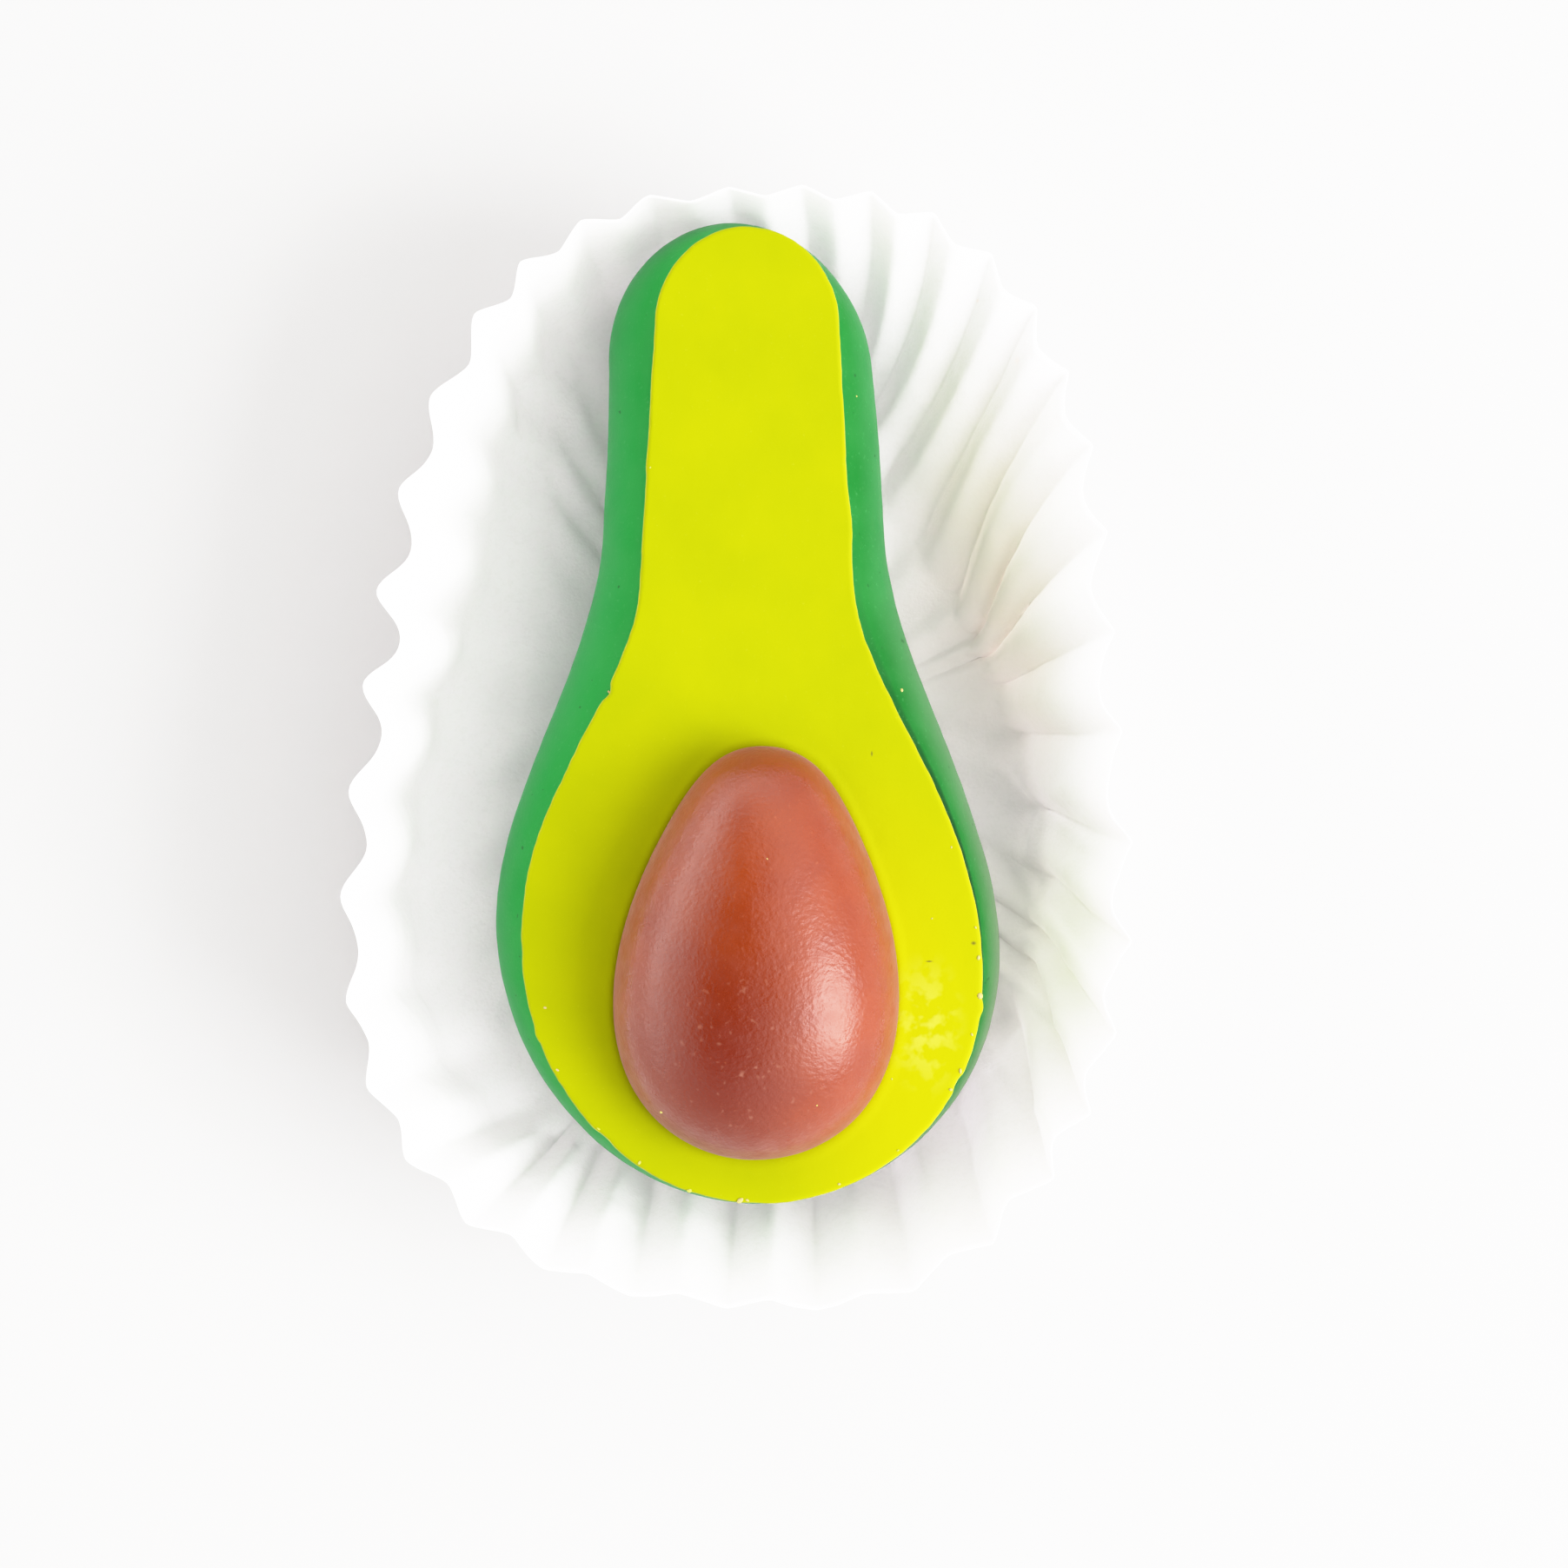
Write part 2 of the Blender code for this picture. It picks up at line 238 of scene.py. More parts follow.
table_mesh = bpy.data.meshes.new("table")
corners = [(TABLE_HALF * x, TABLE_HALF * y, -TABLE_DROP) for x, y in ((-1, -1), (1, -1), (1, 1), (-1, 1))]
table_mesh.from_pydata(corners, [], [(0, 1, 2, 3)])
table_mesh.materials.append(table_finish())
table = bpy.data.objects.new("table", table_mesh)
bpy.context.scene.collection.objects.link(table)


# Paper case: one disc of thin white greaseproof paper, pressed in a fluted die into an oval cup.
# The fruit has pushed its wall outward at the upper right and crumpled it at the lower right.

PAPER = 0.00008
# Where the outer fold of each flute meets the rim, in degrees around it: the press left them uneven
FLUTE_FOLDS = (
    1.5, 13.0, 24.5, 34.5, 43.5, 51.5, 59.0, 66.5, 74.0, 82.0, 90.5, 99.5,
    108.0, 116.5, 124.5, 135.0, 146.0, 158.0, 169.0, 181.0, 193.0, 205.0, 215.0, 224.5,
    235.0, 246.0, 257.0, 268.0, 278.0, 289.0, 299.5, 309.5, 318.0, 327.5, 338.0, 349.0,
)
STEPS_PER_FLUTE = 18
BASE_ROWS = 30
BEND_ROWS = 5
WALL_ROWS = 36
RIM_X = 0.00012
RIM_Y = -0.00045
RIM_HALF_WIDTH = 0.0220
RIM_HALF_LENGTH = 0.0320
RIM_POWER = 2.6
RIM_EGG = 0.10
RIM_SHEAR = 0.03
RIM_POINTS = 7200
CASE_RADIUS = 0.02
# Each row from here on: direction around the rim and spread in degrees, then how much
RIM_BULGES = (
    (8, 16, -0.0005),
    (50, 22, 0.0010),
    (162, 26, -0.00045),
    (238, 20, -0.0010),
    (264, 26, -0.00025),
    (284, 16, 0.0005),
    (325, 25, 0.0003),
)
WALL_SLANT = 0.0164
WALL_LEAN = 0.0022
WALL_PRESSES = (
    (45, 32, 0.0090),
    (150, 20, 0.0022),
    (275, 50, 0.0042),
)
# Beside the fruit's head the rim dips and the wall bows outward
HEAD = (93, 20)
HEAD_DIP = 0.0030
HEAD_BOW = 0.0007
FOOT_ROUNDING = 0.0012
SOFT_FOOT = (175, 60, 0.0022)
FLUTE_DEPTH = 0.00060
FLUTE_AT_FOOT = 0.80
FLUTE_FADE = (165, 50, -0.50)
FLUTES_FULL = 0.625
# Where the flutes are deeper or shallower than usual
FLUTE_CHANGES = (
    (93, 20, -0.50),
    (52, 20, -0.22),
    (165, 24, 0.30),
    (212, 18, -0.30),
    (266, 27, 0.05),
    (340, 40, 0.12),
)
# How many degrees the fruit has dragged the foot of the flutes sideways
FLUTE_DRAGS = (
    (44, 26, -22),
    (313, 14, 9),
    (322, 38, 7),
    (122, 15, 4),
    (228, 14, 5),
)
DRAG_POWER = 1.2
# At the bottom the press flattened the rim again, and the folds are deep only below it
FLAT_RIM = (266, 30, 0.60)
FLAT_FROM = 0.55
ROUND_FLUTES = (172, 52)
POINTED_FLUTES = (0, 62)
LOPSIDED_FLUTES = (335, 38, 0.9)
ZIGZAG = 0.975
ROUND_SIDES = 0.12
POINT_ROUNDING = 0.006
# Unevenness of the wall: how much, over what size, seed
FOLD_DRIFT = (0.20, 0.006, 4)
DEPTH_DRIFT = (0.15, 0.0028, 5)
RAGGED_EDGE = (0.00006, 0.0009, 8)
RAGGED_FROM = 0.7
CRUMPLES = ((0.00007, 0.0021, 6), (0.00004, 0.0009, 7))
CRUMPLE_RISE = 0.00011
# Creases that fan out over the base from the folds
FAN_HEIGHT = 0.00030
FAN_FROM = 0.60
FAN_EASE = 0.36
FAN_END = (0.02, 0.10)
# The oval under the fruit where the base stays flat
REST_Y = -0.002
REST_HALF_WIDTH = 0.008
REST_HALF_LENGTH = 0.019
REST_EDGE = (0.9, 0.5)
# Toward the rim the wall is smoother
SMOOTH_RIM = 0.7
SMOOTH_BAND = (0.5, 0.4)
# Folded lines beside the fruit: from x, y to x, y, height
CREASES = (
    (0.0165, -0.0060, 0.0215, -0.0150, 0.00020),
    (0.0145, -0.0120, 0.0205, -0.0175, 0.00020),
    (0.0160, -0.0010, 0.0210, -0.0060, 0.00016),
    (0.0135, -0.0165, 0.0180, -0.0215, 0.00017),
    (0.0175, -0.0085, 0.0195, -0.0015, 0.00014),
    (-0.0120, 0.0020, -0.0165, -0.0030, 0.00007),
    (-0.0140, -0.0110, -0.0175, -0.0040, 0.00007),
)
CREASE_HALF_WIDTH = 0.00030
CREASE_END = 0.001
PAPER_WHITE = (0.998, 0.971, 0.989)
PAPER_CLOUD = (0.982, 0.955, 0.972)
PAPER_FIBRE = (0.955, 0.931, 0.945)
PAPER_CLOUD_SIZE = 0.0016
FIBRE_SIZES = (0.00018, 0.0005)
FIBRE_BAND = (0.95, 1.25)
FIBRE_DEPTH = 0.00004
PAPER_GLOSS = {"Roughness": 0.62, "Specular IOR Level": 0.25}
LIGHT_THROUGH = 0.34
# Blushes and rubs of colour in the paper: middle, reach along each axis, colour
PAPER_STAINS = (
    ((0.0155, 0.0110, 0.004), (0.011, 0.019, 0.014), (0.97, 0.915, 0.885)),
    ((0.0190, -0.0120, 0.006), (0.009, 0.012, 0.014), (0.955, 0.96, 0.90)),
    ((0.01640, 0.02250, 0.0088), (0.00030, 0.00055, 0.0022), (0.98, 0.36, 0.10)),
    ((0.01655, 0.02175, 0.0082), (0.00022, 0.00035, 0.0022), (0.98, 0.45, 0.20)),
    ((0.01850, 0.01320, 0.0080), (0.00018, 0.00030, 0.0022), (0.98, 0.62, 0.42)),
    ((0.01405, 0.02600, 0.0090), (0.00014, 0.00020, 0.0022), (0.97, 0.60, 0.45)),
)


def ease(t):
    """Smooth rise from 0 to 1 while t goes from 0 to 1."""
    t = np.clip(t, 0.0, 1.0)
    return t * t * (3.0 - 2.0 * t)


def around(angle, centre, spread):
    """Bell shape on a circle: 1 at the centre direction, falling off over the spread, both in degrees."""
    apart = (angle - math.radians(centre) + math.pi) % (2.0 * math.pi) - math.pi
    return np.exp(-((apart / math.radians(spread)) ** 2))


def bells(angle, rows):
    """Sum of bells on a circle, each row giving centre, spread and height."""
    return sum(height * around(angle, centre, spread) for centre, spread, height in rows)


def lumps(points, size, seed):
    """Smooth unevenness from -1 to 1: random heights on a cubic lattice, eased between its corners."""
    heights = np.random.default_rng(seed).uniform(-1.0, 1.0, (32, 32, 32))
    scaled = points / size
    corner = np.floor(scaled).astype(int)
    share = ease(scaled - corner)
    total = 0.0
    for step in itertools.product((0, 1), repeat=3):
        weight = np.prod(np.where(step, share, 1.0 - share), axis=-1)
        cell = (corner + step) % 32
        total = total + weight * heights[cell[..., 0], cell[..., 1], cell[..., 2]]
    return total


def uneven(points, *layers):
    """Sum of lumps, each layer giving height, size and seed."""
    return sum(height * lumps(points, size, seed) for height, size, seed in layers)


def normals(rings):
    """Unit normals of a stack of closed rings, from the steps to the neighbouring points."""
    along = np.roll(rings, -1, axis=1) - np.roll(rings, 1, axis=1)
    upward = np.gradient(rings, axis=0)
    across = np.cross(along, upward)
    return across / np.maximum(np.linalg.norm(across, axis=-1, keepdims=True), 1e-12)


def facing_out(loop):
    """Unit directions out of a closed loop of x, y points: its steps turned a quarter to the right."""
    along = np.roll(loop, -1, axis=0) - np.roll(loop, 1, axis=0)
    outward = np.stack([along[:, 1], -along[:, 0]], axis=1)
    return outward / np.linalg.norm(outward, axis=1, keepdims=True)


def skin_over(name, rings, ends_shut=False):
    """Mesh over a stack of rings: quads from ring to ring, and a fan from each end ring to its own middle,
    unless the end rings are shut already."""
    rows, columns = rings.shape[:2]
    here = np.arange(columns)
    beside = (here + 1) % columns
    row = np.arange(rows - 1)[:, None] * columns
    sides = [row + here, row + beside, row + beside + columns, row + here + columns]
    quads = np.stack(sides, axis=-1).reshape(-1, 4)
    if ends_shut:
        return mesh_of(name, rings.reshape(-1, 3), quads, np.empty((0, 3), dtype=int))
    points = np.concatenate([rings.reshape(-1, 3), rings[[0, -1]].mean(axis=1)])
    last = (rows - 1) * columns
    bottom = np.stack([beside, here, np.full(columns, rows * columns)], axis=-1)
    top = np.stack([last + here, last + beside, np.full(columns, rows * columns + 1)], axis=-1)
    return mesh_of(name, points, quads, np.concatenate([bottom, top]))


def mesh_of(name, points, quads, triangles):
    """Smooth mesh from arrays of points, four-sided faces and three-sided faces."""
    mesh = bpy.data.meshes.new(name)
    corners = np.concatenate([quads.ravel(), triangles.ravel()]).astype(np.int32)
    sides = np.concatenate([np.full(len(quads), 4), np.full(len(triangles), 3)])
    starts = np.concatenate([[0], np.cumsum(sides)[:-1]]).astype(np.int32)
    mesh.vertices.add(len(points))
    mesh.vertices.foreach_set("co", points.astype(np.float32).ravel())
    mesh.loops.add(len(corners))
    mesh.loops.foreach_set("vertex_index", corners)
    mesh.polygons.add(len(sides))
    mesh.polygons.foreach_set("loop_start", starts)
    mesh.polygons.foreach_set("use_smooth", np.ones(len(sides), dtype=bool))
    mesh.update(calc_edges=True)
    mesh.validate()
    return mesh


def plus(tree, first, second):
    """Sum of two numbers or number sockets."""
    return add_node(tree, "ShaderNodeMath", {0: first, 1: second}, operation="ADD").outputs[0]


def emboss(tree, shader, height, depth, strength):
    """Fine relief from a height socket on the shader, and its normal."""
    bump = add_node(tree, "ShaderNodeBump", {"Height": height, "Distance": depth, "Strength": strength})
    tree.links.new(bump.outputs[0], shader.inputs["Normal"])
    return bump.outputs[0]


def set_down(name, mesh, material, slot, *nodes):
    """Piece for a finished mesh, riding on the sweet and standing for the named solids."""
    piece = bpy.data.objects.new(name, mesh)
    bpy.context.scene.collection.objects.link(piece)
    mesh.materials.append(material)
    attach(piece, "root")
    if nodes:
        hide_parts(*nodes)
    return piece


def rim_oval(turn):
    """Outer oval of the rim: a superellipse, narrower at the neck end and sheared."""
    cosine = np.cos(turn)
    sine = np.sin(turn)
    across = np.sign(cosine) * np.abs(cosine) ** (2.0 / RIM_POWER)
    along = np.sign(sine) * np.abs(sine) ** (2.0 / RIM_POWER)
    y = RIM_HALF_LENGTH * along
    x = RIM_HALF_WIDTH * across * (1.0 - RIM_EGG * along) + RIM_SHEAR * y
    return np.stack([RIM_X + x, RIM_Y + y], axis=1)


def at_place(place):
    """Rim points and outward directions at places around the rim, which is walked evenly from the right."""
    full_turn = 2.0 * math.pi
    oval = rim_oval(np.linspace(0.0, full_turn, RIM_POINTS + 1))
    lengths = np.linalg.norm(np.diff(oval, axis=0), axis=1)
    walked = np.concatenate([[0.0], np.cumsum(lengths)[:-1]]) / lengths.sum() * full_turn
    oval = oval[:-1]
    outward = facing_out(oval)
    rim, facing = (
        np.stack([np.interp(place, walked, known[:, axis], period=full_turn) for axis in (0, 1)], axis=-1)
        for known in (oval, outward)
    )
    facing /= np.linalg.norm(facing, axis=-1, keepdims=True)
    return rim + facing * bells(place, RIM_BULGES)[..., None], facing


def flute_wave(angle, phase):
    """Flute profile from 0 outside to -2 inside: a crisp zigzag, round at the left, and at the right pointed
    outer folds with round hollows between them, some leaning over to one side."""
    crisp = np.arcsin(ZIGZAG * np.cos(phase)) / math.asin(ZIGZAG)
    rounded = np.cos(phase) + ROUND_SIDES * np.cos(2.0 * phase) - ROUND_SIDES
    leaning = phase + bells(angle, [LOPSIDED_FLUTES]) * (1.0 - np.cos(phase)) / 2.0
    fold = np.sqrt(np.sin(leaning / 2.0) ** 2 + POINT_ROUNDING) - math.sqrt(POINT_ROUNDING)
    wave = crisp + (rounded - crisp) * around(angle, *ROUND_FLUTES)
    return wave + (1.0 - 2.0 * fold - wave) * around(angle, *POINTED_FLUTES) - 1.0


def paper_wall(angle, phase, up):
    """Outer surface of the wall at shares of its height, and its outward directions: the leaning rim oval,
    bent and dragged sideways by the fruit and swung in by the flutes."""
    place = angle + np.radians(bells(angle, FLUTE_DRAGS)) * (1.0 - up) ** DRAG_POWER
    rim, outward = at_place(place)
    lean = WALL_LEAN + bells(place, WALL_PRESSES)
    near_head = around(place, *HEAD)
    height = (np.sqrt(WALL_SLANT**2 - lean**2) - HEAD_DIP * near_head) * up
    on_case = np.stack([np.cos(place), np.sin(place), np.zeros_like(place)], axis=-1) * CASE_RADIUS
    drift = uneven(on_case + np.array([0.0, 0.0, CASE_RADIUS]) * up[..., None], FOLD_DRIFT)
    depth = FLUTE_DEPTH * (1.0 + bells(angle, FLUTE_CHANGES)) * (1.0 + uneven(on_case, DEPTH_DRIFT))
    at_foot = FLUTE_AT_FOOT + bells(angle, [FLUTE_FADE])
    at_rim = 1.0 - bells(angle, [FLAT_RIM]) * ease((up - FLAT_FROM) / (1.0 - FLAT_FROM))
    growing = at_foot + (1.0 - at_foot) * ease(up / FLUTES_FULL)
    swing = depth * at_rim * growing * flute_wave(angle, phase + drift)
    ragged = uneven(on_case, RAGGED_EDGE) * ease((up - RAGGED_FROM) / (1.0 - RAGGED_FROM))
    advance = lean * (up - 1.0) + HEAD_BOW * near_head * np.sin(math.pi * up) + ragged
    flat = rim + outward * (advance + swing)[..., None]
    return np.concatenate([flat, height[..., None]], axis=-1), outward


def paper_base(edge):
    """Flat base rings from near the middle out to the edge."""
    middle = edge.mean(axis=0)
    return middle + (edge - middle) * np.linspace(0.02, 1.0, BASE_ROWS)[:, None, None]


def crease_height(points):
    """Height of the folded lines over the points: a narrow bell across each line, fading at its ends."""
    total = np.zeros(points.shape[:-1])
    for x_from, y_from, x_to, y_to, height in CREASES:
        start = np.array([x_from, y_from])
        line = np.array([x_to, y_to]) - start
        reach = np.linalg.norm(line)
        along = (points[..., :2] - start) @ line / reach
        across = (points[..., 0] - x_from) * line[1] / reach - (points[..., 1] - y_from) * line[0] / reach
        since_start = ease((along + CREASE_END) / (2.0 * CREASE_END))
        till_end = ease((reach + CREASE_END - along) / (2.0 * CREASE_END))
        total += height * since_start * till_end * np.exp(-((across / CREASE_HALF_WIDTH) ** 2))
    return total


def paper_mesh(shift):
    """Thin closed shell: base and wall outside, over the cut rim, and the same surface one paper inside. The
    foot is a quadratic curve from base to wall, and the paper's relief is sunk in along its normals."""
    flutes = len(FLUTE_FOLDS)
    steps = np.arange(flutes * STEPS_PER_FLUTE) / STEPS_PER_FLUTE
    folds = np.radians(FLUTE_FOLDS + (FLUTE_FOLDS[0] + 360.0,))
    angle = np.interp(steps, np.arange(flutes + 1), folds)
    phase = 2.0 * math.pi * steps
    rounding = FOOT_ROUNDING + bells(angle, [SOFT_FOOT])
    foot, outward = paper_wall(angle, phase, np.zeros((1, len(angle))))
    bottom = rounding / WALL_SLANT
    up = bottom + (1.0 - bottom) * np.linspace(0.0, 1.0, WALL_ROWS)[:, None]
    wall, _ = paper_wall(angle, phase, up)
    base_edge = foot[0].copy()
    base_edge[:, :2] -= outward[0] * rounding[:, None]
    bend = np.linspace(0.0, 1.0, BEND_ROWS + 2)[1:-1, None, None]
    bent = (1.0 - bend) ** 2 * base_edge + 2.0 * bend * (1.0 - bend) * foot[0] + bend**2 * wall[0]
    outer = np.concatenate([paper_base(base_edge), bent, wall])
    outer[..., :2] += shift
    rows = np.arange(len(outer))[:, None] / BASE_ROWS
    height = outer[..., 2] / WALL_SLANT
    fanned = ease((rows - FAN_FROM) / FAN_EASE) * (1.0 - ease((height - FAN_END[0]) / FAN_END[1]))
    fan = FAN_HEIGHT * fanned * (0.5 - 0.5 * np.cos(phase))
    crumple = uneven(outer, *CRUMPLES) + CRUMPLE_RISE
    from_rest = np.hypot(outer[..., 0] / REST_HALF_WIDTH, (outer[..., 1] - REST_Y) / REST_HALF_LENGTH)
    off_rest = ease((from_rest - REST_EDGE[0]) / REST_EDGE[1])
    near_rim = 1.0 - SMOOTH_RIM * ease((height - SMOOTH_BAND[0]) / SMOOTH_BAND[1])
    relief = (crumple + crease_height(outer)) * off_rest * near_rim + fan
    outer = outer - normals(outer) * relief[..., None]
    inner = outer - normals(outer) * PAPER
    return skin_over("fluted_paper_case", np.concatenate([outer, inner[::-1]]))


def paper_finish():
    """Thin white greaseproof paper that lets light through: cloudy, with fine fibres, a warm blush and an
    orange rub at the upper right."""
    material, tree, shader, place = new_finish("white_case_paper")
    colour = tint(tree, clouds(tree, place, PAPER_CLOUD_SIZE), PAPER_CLOUD, PAPER_WHITE)
    fibres = plus(tree, *(mottle(tree, place, size) for size in FIBRE_SIZES))
    colour = tint(tree, rescale(tree, fibres, *FIBRE_BAND), colour, PAPER_FIBRE)
    for middle, reach, shade in PAPER_STAINS:
        broken = clouds(tree, place, 0.4 * reach[0], 2.0, least=0.75)
        colour = tint(tree, times(tree, spot(tree, place, middle, reach), broken), colour, shade)
    cover(tree, shader, colour, PAPER_GLOSS)
    relief = emboss(tree, shader, fibres, FIBRE_DEPTH, 0.5)
    through = add_node(tree, "ShaderNodeBsdfTranslucent", {"Color": colour, "Normal": relief})
    layers = {0: LIGHT_THROUGH, 1: shader.outputs[0], 2: through.outputs[0]}
    sheet = add_node(tree, "ShaderNodeMixShader", layers)
    tree.links.new(sheet.outputs[0], tree.nodes["Material Output"].inputs[0])
    return material


# The solids were packed around the case's middle. Every piece is drawn around the fruit's own, so all
# of them move by the same amount, found from the pear outline of the cut face.
FACE_PEAR = {
    "foot": -0.02618,
    "head": 0.02869,
    "belly_r": 0.01292,
    "belly_l": 0.0135,
    "neck_low": 0.00723,
    "neck_high": 0.00486,
    "head_r": 0.00511,
    "shoulder": 0.02114,
    "lag": 1.16,
    "axis": 0.00055,
    "head_sway": 0.0,
}
BELLY_SWAY = 0.0008
BELLY_SWAY_START = -0.004
HEAD_SWAY_START = 0.016
SWAY_LENGTH = 0.020
PEAR_LEVELS = 1200


def pear_half_width(y, pear):
    """Half-width of a pear outline at y: quarter-ellipse belly, eased shoulder, tapering neck, round head."""
    widest = pear["foot"] + pear["belly_l"]
    below = np.minimum(y - widest, 0.0) / pear["belly_l"]
    belly = pear["belly_r"] * np.sqrt(np.clip(1.0 - below**2, 0.0, 1.0))
    along = np.clip((y - widest) / (pear["head"] - widest), 0.0, 1.0)
    neck = pear["neck_low"] + (pear["neck_high"] - pear["neck_low"]) * along
    fall = ease(np.clip((y - widest) / pear["shoulder"], 0.0, 1.0) ** pear["lag"])
    into_head = np.clip(y - (pear["head"] - pear["head_r"]), 0.0, None) / pear["head_r"]
    rounded = np.sqrt(np.clip(1.0 - into_head**2, 0.0, 1.0))
    return np.where(y < widest, belly, (pear["belly_r"] + (neck - pear["belly_r"]) * fall) * rounded)


def pear_middle(y, pear):
    """Middle line of a pear outline at y: it sways to the right below and may sway at the head."""
    below = BELLY_SWAY * ease((BELLY_SWAY_START - y) / SWAY_LENGTH)
    return pear["axis"] + below + pear["head_sway"] * ease((y - HEAD_SWAY_START) / SWAY_LENGTH)


def pear_loop(pear, count, inset=0.0):
    """Closed pear outline as x, y points: up the right side from the foot, down the left at equal levels."""
    turn = np.linspace(0.0, math.pi, PEAR_LEVELS + 1)
    y = (pear["head"] + pear["foot"]) / 2.0 - (pear["head"] - pear["foot"]) / 2.0 * np.cos(turn)
    half_width = pear_half_width(y, pear)
    walked = np.concatenate([[0.0], np.cumsum(np.hypot(np.diff(y), np.diff(half_width)))])
    y = np.interp(np.linspace(0.0, walked[-1], count // 2 + 1), walked, y)
    half_width = pear_half_width(y, pear)
    half_width[[0, -1]] = 0.0
    centre = pear_middle(y, pear)
    right = np.stack([centre + half_width, y], axis=1)
    left = np.stack([centre - half_width, y], axis=1)[-2:0:-1]
    loop = np.concatenate([right, left])
    return loop - inset * facing_out(loop)


face_x = pear_loop(FACE_PEAR, 2 * PEAR_LEVELS)[:, 0]
centring = np.array([
    (face_low.x + face_high.x - face_x.min() - face_x.max()) / 2.0,
    (face_low.y + face_high.y - FACE_PEAR["foot"] - FACE_PEAR["head"]) / 2.0,
])

set_down("fluted_paper_case", paper_mesh(centring), paper_finish(), "white_paper", "paper_case")


# Green skin: the outside of the fruit, green marzipan pressed in a pear-shaped mould. It bulges below
# the cut face, lies on a small flat rest in the case, and carries the lime layer on its flat top.

SKIN_REST = 0.00035
FLANK_HEIGHT = 0.0104
SKIN_TOP = 0.0144
OVERHANG = 0.00012
BULGE_POWER = 1.8
KEEL_POWER = 2.2
FLANK_PEAR = {
    "foot": -0.02690,
    "head": 0.02985,
    "belly_r": 0.01458,
    "belly_l": 0.0155,
    "neck_low": 0.00948,
    "neck_high": 0.00715,
    "head_r": 0.00790,
    "shoulder": 0.02300,
    "lag": 0.96,
    "axis": 0.0003,
    "head_sway": -0.0010,
}
REST_PEAR = {
    "foot": -0.0190,
    "head": 0.0170,
    "belly_r": 0.0078,
    "belly_l": 0.0095,
    "neck_low": 0.0046,
    "neck_high": 0.0026,
    "head_r": 0.0030,
    "shoulder": 0.0170,
    "lag": 1.1,
    "axis": 0.0003,
    "head_sway": 0.0,
}
# The middle line that the flat ends close to: how much of the length it leaves out at foot and head
SPINE_ENDS = (0.26, 0.10)
SKIN_COLUMNS = 520
KEEL_ROWS = 64
BULGE_ROWS = 25
# Each layer of grain: height, size, seed
SKIN_GRAIN = ((0.000030, 0.0024, 11), (0.000012, 0.0007, 12), (0.000006, 0.00035, 13))
# Painted light and shade on the green: lighter on the left flank, paler at the right belly as a painted
# sheen, darker at the right neck
GREEN_LEFT_PAINTED_LIGHT = (0.018, 0.202, 0.048)
GREEN_BELLY_PAINTED_SHEEN = (0.110, 0.172, 0.092)
GREEN_NECK_PAINTED_SHADE = (0.020, 0.122, 0.034)
PAINTED_LIGHT_RIGHTWARD = (-0.006, 0.009)
PAINTED_SHEEN_NECKWARD = (-0.012, 0.010)
GREEN_CLOUD = (0.06, 0.26, 0.08)
GREEN_CLOUD_SIZE = 0.0035
GREEN_CLOUD_SHARE = 0.12
GREEN_FLECK = (0.10, 0.34, 0.13)
ALMOND_SIZE = 0.00022
ALMOND_DEPTH = 0.00003
# Painted shade: the green is darker under the slab's edge, where the slab shades it
UNDER_EDGE_SHADE_LEFT = (0.003, 0.190, 0.023)
UNDER_EDGE_SHADE_RIGHT = (0.001, 0.082, 0.007)
UNDER_EDGE_SHADE_BAND = (0.0112, 0.0136)
# Painted shade: a dark line at the right between the slab's edge and the green, the groove under the slab in
# shadow
GROOVE_SHADE = ((0.0140, -0.0040, 0.0142), (0.0130, 0.0220, 0.01))
GROOVE_SHADE_BAND = (0.01375, 0.01395)
GROOVE_SHADE_GREEN = (0.001, 0.030, 0.004)
SOOT_GREEN = (0.004, 0.040, 0.008)
SOOT_SIZE = 0.0005
SKIN_GLOSS = {"Roughness": 0.58, "Specular IOR Level": 0.10, "Sheen Weight": 0.04, "Sheen Roughness": 0.4}


def between(first, second, share):
    """Pear outline part of the way from the first to the second."""
    return {key: first[key] + (second[key] - first[key]) * share for key in first}


def at_height(loop, z):
    """Loop of x, y points lifted to height z."""
    return np.column_stack([loop, np.full(len(loop), z)])


def toward_middle(ring, pear, shares):
    """Rings that shrink a ring toward the pear's own middle line, one for each share of the way out."""
    levels = pear_loop(pear, len(ring))[:, 1]
    low, high = levels.min(), levels.max()
    spine_y = np.clip(levels, low + SPINE_ENDS[0] * (high - low), high - SPINE_ENDS[1] * (high - low))
    spine = np.column_stack([pear_middle(spine_y, pear), spine_y, np.full(len(ring), ring[:, 2].mean())])
    return np.stack([spine + (ring - spine) * share for share in shares])


def zipped(mesh):
    """The mesh with the two sides that meet on a middle line joined point to point."""
    joined = bmesh.new()
    joined.from_mesh(mesh)
    bmesh.ops.remove_doubles(joined, verts=joined.verts, dist=0.000002)
    joined.to_mesh(mesh)
    joined.free()
    return mesh


